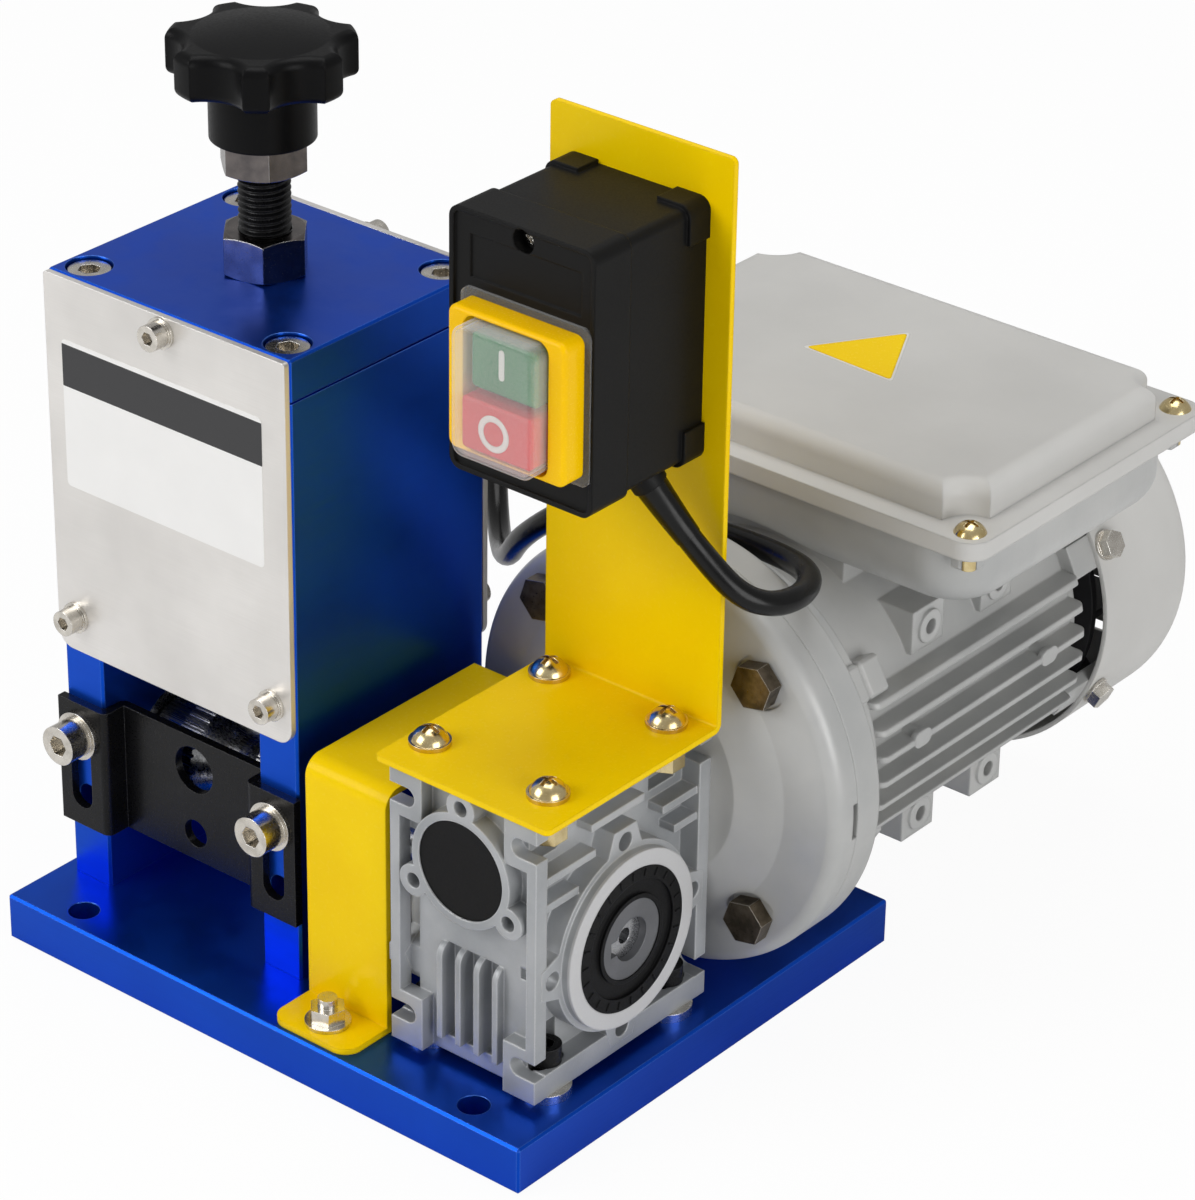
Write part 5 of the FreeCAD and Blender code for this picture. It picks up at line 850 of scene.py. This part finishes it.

# The lighter edge colours in this table are partly rubbed metal and partly painted highlight.
FINISHES: dict[Slot, Finish | ClearFinish] = {
    Slot.BLUE: Finish("blue_anodised", srgb(13, 80, 204), srgb(11, 73, 193), 0.9, (0.28, 0.38), gloss=0.2,
                      depth=0.000003, worn_and_highlit=srgb(96, 146, 236), wear_and_highlight=0.6, brush=(50.0, 50.0, 2500.0),
                      edge=0.0005),
    Slot.STAINLESS: Finish("brushed_stainless", srgb(236, 233, 229), srgb(220, 217, 213), 0.7, (0.3, 0.42),
                           depth=0.000005, brush=(30.0, 30.0, 4000.0), worn_and_highlit=srgb(235, 233, 230), wear_and_highlight=0.4),
    Slot.ZINC: Finish("zinc_plate", srgb(222, 217, 208), srgb(196, 191, 182), 1.0, (0.18, 0.3), wear_and_highlight=0.3,
                      depth=POLISHED, worn_and_highlit=srgb(240, 240, 238), edge=0.0003, slow=220.0),
    Slot.BRIGHT: Finish("bright_zinc", srgb(116, 110, 108), srgb(92, 88, 88), 1.0, (0.16, 0.28), wear_and_highlight=0.4,
                        depth=POLISHED, worn_and_highlit=srgb(240, 240, 242), edge=0.0004, slow=180.0),
    Slot.NICKEL: Finish("dull_nickel", srgb(112, 101, 86), srgb(84, 75, 62), 0.95, (0.26, 0.42), wear_and_highlight=0.5,
                        depth=0.0000005, worn_and_highlit=srgb(215, 208, 196), slow=300.0),
    Slot.BLACK_STEEL: Finish("black_oxide", srgb(15, 15, 17), srgb(10, 10, 11), 0.0, (0.24, 0.36), wear_and_highlight=0.35,
                             worn_and_highlit=srgb(90, 90, 92), slow=60.0, gloss=0.2),
    Slot.GROUND: Finish("ground_steel", srgb(196, 197, 199), srgb(160, 161, 164), 1.0, (0.2, 0.34),
                        brush=(40.0, 1800.0, 1800.0), depth=0.0000005),
    Slot.KNOB: Finish("black_thermoset", srgb(13, 13, 14), srgb(9, 9, 10), 0.0, (0.3, 0.42), depth=0.000012,
                      grain=1100.0, edge=0.0008, gloss=0.1),
    Slot.YELLOW: Finish("yellow_powder_coat", srgb(255, 216, 0), srgb(250, 208, 0), 0.0, (0.2, 0.3),
                        grain=700.0, depth=0.000006, edge=0.0008, gloss=0.1),
    Slot.CAST: CastFinish("blasted_casting", srgb(186, 188, 190), srgb(154, 157, 160), 0.35, (0.38, 0.56),
                          grain=1300.0, depth=0.00005, edge=0.0009, wear_and_highlight=0.5, worn_and_highlit=srgb(222, 223, 224),
                          machined_from=SPIGOT_FACE, machined_to=SPIGOT_END, machined=srgb(205, 205, 206)),
    Slot.GREY: Finish("grey_motor_paint", srgb(190, 190, 188), srgb(174, 175, 174), 0.1, (0.32, 0.46),
                      coat=0.1, grain=900.0, depth=0.00003, edge=0.0012, wear_and_highlight=0.25, worn_and_highlit=srgb(214, 214, 212)),
    Slot.SHEET: Finish("grey_sheet_paint", srgb(206, 205, 202), srgb(200, 199, 196), 0.0, (0.36, 0.46),
                       grain=600.0, depth=0.00001, edge=0.001, gloss=0.2),
    Slot.RUBBER: Finish("black_rubber", srgb(15, 15, 16), srgb(11, 11, 12), 0.0, (0.4, 0.56), depth=0.000012,
                        gloss=0.15),
    Slot.BRONZE: Finish("cast_bronze", srgb(196, 158, 92), srgb(160, 122, 66), 1.0, (0.26, 0.4), wear_and_highlight=0.4,
                        worn_and_highlit=srgb(226, 196, 136)),
    Slot.IRON: Finish("machined_iron", srgb(128, 129, 132), srgb(100, 101, 104), 0.9, (0.3, 0.46)),
    Slot.LAMINATION: Finish("laminated_core", srgb(132, 112, 96), srgb(150, 98, 62), 0.6, (0.34, 0.5),
                            brush=(40.0, 4000.0, 40.0), depth=0.00003),
    Slot.NYLON: Finish("moulded_nylon", srgb(46, 46, 48), srgb(36, 36, 38), 0.0, (0.4, 0.52)),
    Slot.BLACK_PLASTIC: Finish("textured_black_plastic", srgb(16, 16, 16), srgb(12, 12, 12), 0.0, (0.38, 0.5),
                               grain=1800.0, depth=0.00002, edge=0.0009, gloss=0.14),
    Slot.YELLOW_PLASTIC: Finish("yellow_plastic", srgb(255, 204, 0), srgb(252, 196, 0), 0.0, (0.2, 0.3),
                                edge=0.0007, gloss=0.14),
    Slot.GREEN: Finish("green_key", srgb(22, 128, 66), srgb(16, 114, 58), 0.0, (0.24, 0.34), edge=0.0006),
    Slot.RED: Finish("red_key", srgb(218, 20, 32), srgb(206, 16, 28), 0.0, (0.24, 0.34), edge=0.0006),
    Slot.CLEAR: ClearFinish("clear_cap_plastic", (0.97, 0.97, 0.95), (0.98, 0.98, 0.97), 0.06),
    Slot.WHITE: Finish("white_plastic", srgb(232, 231, 226), srgb(220, 219, 214), 0.0, (0.32, 0.45)),
    Slot.SHEATH: Finish("black_sheath", srgb(12, 12, 12), srgb(9, 9, 9), 0.0, (0.2, 0.28), grain=500.0,
                        depth=0.000004, gloss=0.25),
}

# Its lighter edge colour is partly rubbed plating and partly painted highlight.
YELLOW_ZINC = Finish("yellow_zinc_plate", srgb(226, 208, 160), srgb(206, 184, 132), 1.0, (0.16, 0.28),
                     wear_and_highlight=0.3, depth=POLISHED, worn_and_highlit=srgb(244, 236, 208), edge=0.0003, slow=220.0)
OWN_FINISHES: dict[str, Finish] = {"bracket_screws": YELLOW_ZINC, "terminal_lid_screws": YELLOW_ZINC}
GUARD_LABEL = LabelFinish("guard_label_film", srgb(246, 245, 243), srgb(40, 40, 42), 0.1905, 0.2045)


class Palette:
    """Every material of the machine, by slot."""

    def __init__(self) -> None:
        """Builds the shared groups and one material for each slot."""
        self.groups = SharedGroups()
        self.materials = {slot: finish.build(self.groups) for slot, finish in FINISHES.items()}

    def dress(self, piece: Piece, slot: Slot) -> None:
        """Puts a slot's material on a new piece.

        Args:
            piece: The piece.
            slot: The slot whose material it gets.
        """
        piece.data.materials.clear()
        piece.data.materials.append(self.materials[slot])

    def dress_as(self, piece: Piece, finish: Finish | LabelFinish, slot: Slot) -> None:
        """Puts a finish of its own on a new piece.

        Args:
            piece: The piece.
            finish: Its finish.
            slot: The nearest slot; not used.
        """
        piece.data.materials.clear()
        piece.data.materials.append(finish.build(self.groups))

    def dress_nodes(self) -> None:
        """Gives every CAD node a finish of its own, or else the material of its slot in the record."""
        own = {name: finish.build(self.groups) for name, finish in OWN_FINISHES.items()}
        for entry in frame["record"]["subparts"]:
            node = frame["nodes"][entry["node"]]
            material = own.get(entry["node"], self.materials[Slot(entry["material_slot"])])
            node.data.materials.clear()
            node.data.materials.append(material)
            log.info("dressed %s with %s", entry["node"], material.name)


# Stage

WHITE = (1.0, 1.0, 1.0, 1.0)


@dataclass(frozen=True)
class Softbox:
    """A square lamp that faces the machine.

    Attributes:
        name: The lamp's name.
        place: Where it hangs, in metres.
        size: Its side in metres.
        power: Its power in watts.
    """

    name: str
    place: Triple
    size: float
    power: float

    def hang(self, target: Vector) -> None:
        """Hangs the lamp and turns it to a point.

        Args:
            target: The point that it faces.
        """
        lamp = bpy.data.lights.new(self.name, "AREA")
        lamp.size = self.size
        lamp.energy = self.power
        holder = linked(self.name, lamp)
        holder.location = self.place
        holder.rotation_mode = "QUATERNION"
        holder.rotation_quaternion = (target - Vector(self.place)).to_track_quat("-Z", "Y")


@dataclass
class Studio:
    """The floor, lights and camera. Distances are in metres, angles in degrees.

    Attributes:
        azimuth: How far the camera stands to the machine's right.
        elevation: How far it stands above the horizon.
        roll: How far it leans about its own axis.
        lens: Focal length in millimetres.
        sensor_width: Width of its sensor in millimetres.
        camera_place: Where it stands.
        view_depth: How far it sees.
        floor_width: Side of the square floor.
        floor_drop: How far the floor lies below the base.
        floor_grey: The floor's own brightness.
        floor_white: The share of plain white that the camera sees on it.
        world_light: Strength of the world's light on the machine.
        world_gloss: Strength of the world in reflections, between its light and full white.
        aim_height: Height that the lamps face.
        lamps: The softboxes.
    """

    azimuth: float = 39.202
    elevation: float = 28.735
    roll: float = 0.931
    lens: float = 139.14
    sensor_width: float = 36.0
    camera_place: Triple = (0.8190, -0.9320, 0.8036)
    view_depth: float = 50.0
    floor_width: float = 8.0
    floor_drop: float = 0.0004
    floor_grey: float = 0.9
    floor_white: float = 0.95
    world_light: float = 0.22
    world_gloss: float = 0.28
    aim_height: float = 0.12
    lamps: tuple[Softbox, ...] = (
        Softbox("key_softbox", (-0.9, -1.6, 1.2), 1.2, 21.0),
        Softbox("side_softbox", (1.9, -0.4, 0.5), 1.2, 18.0),
        Softbox("top_softbox", (-0.1, 0.2, 1.9), 1.3, 16.0),
    )

    def build(self) -> None:
        """Sets the colour transform, world, floor, lights and camera."""
        bpy.context.scene.view_settings.view_transform = "Standard"
        self.light_world()
        self.lay_floor()
        for lamp in self.lamps:
            lamp.hang(Vector((0, 0, self.aim_height)))
        self.place_camera()

    def light_world(self) -> None:
        """Makes a world that is white to the camera and softer in reflections and as a light."""
        world = bpy.data.worlds.new("studio")
        bpy.context.scene.world = world
        wires = Wiring(blank_tree(world))
        path = wires.node("ShaderNodeLightPath").outputs
        seen = wires.maths("MAXIMUM", path["Is Camera Ray"], path["Is Transmission Ray"])
        mirrored = wires.maths("MULTIPLY", path["Is Glossy Ray"], self.world_gloss)
        bright = wires.maths("MAXIMUM", seen, mirrored)
        background = wires.node("ShaderNodeBackground")
        background.inputs["Color"].default_value = WHITE
        strength = wires.spread(bright, FULL_SPAN, (self.world_light, 1.0))
        wires.link(strength, background.inputs["Strength"])
        output = wires.node("ShaderNodeOutputWorld")
        wires.link(background.outputs[0], output.inputs["Surface"])

    def lay_floor(self) -> None:
        """Lays a pale floor that shows white to the camera and keeps a soft shadow."""
        bpy.ops.mesh.primitive_plane_add(size=self.floor_width, location=(0, 0, -self.floor_drop))
        floor = added("studio_floor")
        material = bpy.data.materials.new("floor_paper")
        wires = Wiring(blank_tree(material))
        paper = wires.node("ShaderNodeBsdfDiffuse")
        paper.inputs["Color"].default_value = (self.floor_grey, self.floor_grey, self.floor_grey, 1.0)
        white = wires.node("ShaderNodeEmission")
        white.inputs["Color"].default_value = WHITE
        seen = wires.node("ShaderNodeLightPath").outputs["Is Camera Ray"]
        mix = wires.node("ShaderNodeMixShader")
        wires.link(wires.maths("MULTIPLY", seen, self.floor_white), mix.inputs["Fac"])
        wires.link(paper.outputs[0], mix.inputs[1])
        wires.link(white.outputs[0], mix.inputs[2])
        output = wires.node("ShaderNodeOutputMaterial")
        wires.link(mix.outputs[0], output.inputs["Surface"])
        floor.data.materials.append(material)

    def place_camera(self) -> None:
        """Sets the camera at the photograph's place, leaning a little about its own axis."""
        data = bpy.data.cameras.new("photo_camera")
        data.lens = self.lens
        data.sensor_width = self.sensor_width
        data.clip_end = self.view_depth
        camera = linked("photo_camera", data)
        around, above = math.radians(self.azimuth), math.radians(self.elevation)
        level = math.cos(above)
        back = Vector((math.sin(around) * level, -math.cos(around) * level, math.sin(above)))
        camera.rotation_mode = "QUATERNION"
        roll = Quaternion((0, 0, 1), math.radians(self.roll))
        camera.rotation_quaternion = (-back).to_track_quat("-Z", "Y") @ roll
        camera.location = self.camera_place
        bpy.context.scene.camera = camera


# Pieces


@dataclass
class Assembly:
    """Pieces that one palette dresses."""

    palette: Palette


@dataclass
class Cable(Assembly):
    """The black cable from the switch box to the terminal box, and its sleeve. Sizes are in millimetres."""

    diameter: float = 7.5
    length: float = 386.6
    start: Triple = (90.02, -15.46, 199.55)
    lean: Triple = (0.42, 0.34, -0.84)
    first_run: float = 12.0
    points: tuple[Triple, ...] = (
        (103.5, -7.5, 178.0), (113.5, -3.5, 167.0), (119.5, 5.0, 162.0),
        (121.0, 18.5, 160.5), (112.5, 33.5, 158.5), (94.0, 41.5, 155.5),
        (64.0, 43.0, 153.5), (22.0, 42.5, 149.5), (-10.0, 47.0, 124.0),
        (-29.0, 61.0, 101.5), (-50.0, 82.0, 95.5), (-68.0, 101.0, 108.0),
        (-74.5, 113.0, 131.0), (-62.0, 116.5, 159.5), (-34.3, 116.5, 159.5),
    )
    sleeve_length: float = 20.0
    sleeve_wide: float = 5.0
    sleeve_narrow: float = 3.95

    def build(self) -> list[Piece]:
        """Lays the cable along its route and slips the sleeve over its first part.

        Returns:
            The cable as one open spline, and the sleeve.
        """
        lean = Vector(self.lean).normalized()
        start = Vector(self.start)
        route = [start, start + lean * self.first_run, *[Vector(point) for point in self.points]]
        curve = bpy.data.curves.new("cable_run", "CURVE")
        curve.dimensions = "3D"
        curve.resolution_u = 10
        spline = curve.splines.new("NURBS")
        spline.points.add(len(route) - 1)
        for point, place in zip(spline.points, route):
            point.co = (*(place * MM), 1.0)
        spline.order_u = 3
        spline.use_endpoint_u = True
        piece = linked("cable_run", curve)
        sleeve = self.slip_sleeve(piece)
        curve.bevel_depth = self.diameter / 2 * MM
        curve.bevel_resolution = 6
        self.palette.dress(piece, Slot.SHEATH)
        self.palette.dress(sleeve, Slot.SHEATH)
        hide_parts("switch_cable")
        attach(piece, "machine_frame")
        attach(sleeve, "machine_frame")
        return [piece, sleeve]

    def slip_sleeve(self, run: Piece) -> Piece:
        """Makes the tapered sleeve along the first part of the route.

        Args:
            run: The cable's curve, before it has a thickness.

        Returns:
            The sleeve as a closed mesh.
        """
        line = bpy.data.meshes.new_from_object(run)
        stations = [vertex.co.copy() for vertex in line.vertices]
        bpy.data.meshes.remove(line)
        kept, gone = [(stations[0], 0.0)], 0.0
        for before, here in zip(stations, stations[1:]):
            gone += (here - before).length
            if gone > self.sleeve_length * MM:
                break
            kept.append((here, gone / (self.sleeve_length * MM)))
        curve = bpy.data.curves.new("cable_sleeve", "CURVE")
        curve.dimensions = "3D"
        curve.bevel_depth = MM
        curve.bevel_resolution = 8
        curve.use_fill_caps = True
        spline = curve.splines.new("POLY")
        spline.points.add(len(kept) - 1)
        for point, (place, share) in zip(spline.points, kept):
            point.co = (*place, 1.0)
            point.radius = self.sleeve_wide + (self.sleeve_narrow - self.sleeve_wide) * share
        take(linked("cable_sleeve", curve))
        bpy.ops.object.convert(target="MESH")
        sleeve = bpy.context.active_object
        smooth(sleeve)
        return sleeve


@dataclass
class AdjustingScrew(Assembly):
    """The threaded rod that raises and lowers the blade. Sizes are in millimetres."""

    root_radius: float = 6.75
    pitch: float = 2.0
    collar_radius: float = 13.0
    collar_height: float = 8.0
    chamfer: float = 0.6
    neck: float = 0.05
    ridge_middle: float = 6.6
    ridge_reach: float = 1.38
    ridge_half: float = 0.92
    steps: int = 40

    def build(self) -> list[Piece]:
        """Turns the rod and its collar, and winds the thread round it.

        Returns:
            The finished screw.
        """
        low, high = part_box("adjusting_screw")
        middle = (low + high) / 2
        foot = Vector((middle.x, middle.y, low.z))
        top = high.z - low.z
        collar = self.collar_height * MM
        outline = [
            (0.0, (self.collar_radius - self.chamfer) * MM),
            (self.chamfer * MM, self.collar_radius * MM),
            (collar - self.chamfer * MM, self.collar_radius * MM),
            (collar, (self.collar_radius - self.chamfer) * MM),
            (collar + self.neck * MM, self.root_radius * MM),
            (top, self.root_radius * MM),
        ]
        rod = turned("screw_rod", foot, outline, sides=self.steps)
        pitch = self.pitch * MM
        thread = self.wind_thread(foot + Vector((0, 0, collar + pitch)), top - collar - 2 * pitch)
        piece = join([rod, thread], "threaded_rod")
        smooth(piece, 25.0)
        self.palette.dress(piece, Slot.BLACK_STEEL)
        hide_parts("adjusting_screw")
        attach(piece, "adjuster")
        return [piece]

    def wind_thread(self, foot: Vector, length: float) -> Piece:
        """Winds one thread ridge round the rod.

        Args:
            foot: Where the thread starts, on the rod's axis.
            length: How far up it runs, in metres.

        Returns:
            The closed ridge.
        """
        bpy.ops.mesh.primitive_circle_add(vertices=4, radius=self.ridge_reach * MM, fill_type="NOTHING",
                                          location=(self.ridge_middle * MM, 0, 0),
                                          rotation=(math.pi / 2, 0, 0))
        ridge = added("screw_thread")
        settle(ridge)
        with editing():
            share = self.ridge_half / self.ridge_reach
            bpy.ops.transform.resize(value=(1, 1, share), center_override=(0, 0, 0))
        winding = ridge.modifiers.new("winding", "SCREW")
        winding.angle = 2 * math.pi
        winding.screw_offset = self.pitch * MM
        winding.iterations = max(1, int(length / (self.pitch * MM)))
        winding.steps = self.steps
        winding.render_steps = self.steps
        apply_modifiers(ridge)
        with editing():
            bpy.ops.mesh.fill_holes(sides=4)
            face_outwards()
        ridge.location = foot
        settle(ridge)
        return ridge


@dataclass
class KeyMarks(Assembly):
    """The printed bar and ring on the two keys. Sizes are in millimetres."""

    centre_x: float = 71.8
    bar_height: float = 246.7
    bar_length: float = 9.3
    bar_width: float = 2.0
    ring_height: float = 226.9
    ring_radius: float = 4.6
    ring_width: float = 2.0
    rise: float = 0.15
    sunk: float = 0.3

    def build(self) -> list[Piece]:
        """Makes both marks and rides them on their keys.

        Returns:
            The bar and the ring.
        """
        bar = self.make_bar()
        ring = self.make_ring()
        for piece, body in ((bar, "start_key"), (ring, "stop_key")):
            self.palette.dress(piece, Slot.WHITE)
            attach(piece, body)
        return [bar, ring]

    def make_bar(self) -> Piece:
        """Makes the bar on the start key.

        Returns:
            The bar, with round ends.
        """
        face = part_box("start_button")[0].y / MM
        half = self.bar_width / 2
        low = mm(self.centre_x - half, face - self.rise, self.bar_height - self.bar_length / 2)
        high = mm(self.centre_x + half, face + self.sunk, self.bar_height + self.bar_length / 2)
        bar = block("start_mark", low, high)
        round_through(bar, Axis.Y, 0.98 * half * MM, 6)  # short of half, so that no edge has no length
        return bar

    def make_ring(self) -> Piece:
        """Makes the ring on the stop key.

        Returns:
            The flattened ring.
        """
        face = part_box("stop_button")[0].y / MM
        bpy.ops.mesh.primitive_torus_add(major_segments=48, minor_segments=10,
                                         major_radius=self.ring_radius * MM,
                                         minor_radius=self.ring_width / 2 * MM,
                                         rotation=(math.pi / 2, 0, 0))
        ring = added("stop_mark")
        settle(ring)
        with editing():
            flat = self.rise / (self.ring_width / 2)
            bpy.ops.transform.resize(value=(1, flat, 1), center_override=(0, 0, 0))
        ring.location = mm(self.centre_x, face, self.ring_height)
        settle(ring)
        smooth(ring)
        return ring


@dataclass
class Labels(Assembly):
    """The blank label on the guard and the blank sticker on the lid. Sizes are in millimetres."""

    label_left: float = -93.6
    label_right: float = -12.2
    label_low: float = 157.0
    label_high: float = 206.0
    label_corner: float = 1.5
    film: float = 0.12
    sticker_x: float = 66.7
    sticker_y: float = 120.3
    sticker_radius: float = 20.8
    sticker_field: float = 19.4
    sticker_turn: float = -2.6
    sticker_corner: float = 1.6

    def build(self) -> list[Piece]:
        """Lays both films on their faces.

        Returns:
            The label and the sticker's two layers.
        """
        label = self.lay_label()
        self.palette.dress_as(label, GUARD_LABEL, Slot.WHITE)
        under = self.lay_triangle("lid_sticker_edge", self.sticker_radius, 0.0)
        self.palette.dress(under, Slot.WHITE)
        field = self.lay_triangle("lid_sticker_field", self.sticker_field, self.film)
        self.palette.dress(field, Slot.YELLOW)
        pieces = [label, under, field]
        for piece in pieces:
            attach(piece, "machine_frame")
        return pieces

    def lay_label(self) -> Piece:
        """Lays the label on the guard, with its corners rounded.

        Returns:
            The thin label.
        """
        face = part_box("front_guard_plate")[0].y / MM
        low = mm(self.label_left, face - self.film, self.label_low)
        high = mm(self.label_right, face + self.film, self.label_high)
        label = block("guard_label", low, high)
        round_through(label, Axis.Y, self.label_corner * MM, 4)
        return label

    def lay_triangle(self, name: str, radius: float, lift: float) -> Piece:
        """Lays one layer of the three-sided sticker.

        Args:
            name: The layer's name.
            radius: From its middle to its corners before they are rounded.
            lift: How far above the lid it starts.

        Returns:
            The thin layer with rounded corners.
        """
        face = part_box("terminal_box_lid")[1].z / MM
        bpy.ops.mesh.primitive_cylinder_add(vertices=3, radius=radius * MM, depth=2 * self.film * MM,
                                            location=mm(self.sticker_x, self.sticker_y, face + lift),
                                            rotation=(0, 0, math.radians(self.sticker_turn)))
        layer = added(name)
        settle(layer)
        round_through(layer, Axis.Z, self.sticker_corner * MM, 5)
        return layer


@dataclass
class SealRibs(Assembly):
    """The short raised ribs on the face of the output seal. Sizes are in millimetres."""

    count: int = 24
    inner: float = 20.2
    outer: float = 22.8
    width: float = 0.7
    rise: float = 0.35
    sunk: float = 0.3
    rounding: float = 0.15
    axis_y: float = -33.0
    axis_z: float = 59.0
    face_x: float = 101.0

    def build(self) -> list[Piece]:
        """Models one rib and copies it round the seal.

        Returns:
            All the ribs as one piece.
        """
        low = mm(self.face_x - self.sunk, self.axis_y - self.width / 2, self.axis_z + self.inner)
        high = mm(self.face_x + self.rise, self.axis_y + self.width / 2, self.axis_z + self.outer)
        rib = block("seal_rib", low, high)
        rib.modifiers.new("rounding", "BEVEL").width = self.rounding * MM
        apply_modifiers(rib)
        ribs = spun_copies(rib, mm(self.face_x, self.axis_y, self.axis_z), Axis.X, self.count)
        piece = join(ribs, "seal_ribs")
        self.palette.dress(piece, Slot.RUBBER)
        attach(piece, "machine_frame")
        return [piece]


def main() -> None:
    """Builds the stage and every piece, and reports each through the log."""
    logging.basicConfig(level=logging.INFO, format="%(message)s")
    Studio().build()
    palette = Palette()
    palette.dress_nodes()
    for kind in (Cable, AdjustingScrew, KeyMarks, Labels, SealRibs):
        for piece in kind(palette).build():
            log.info("built %s", piece.name)


if __name__ == "__main__":
    main()
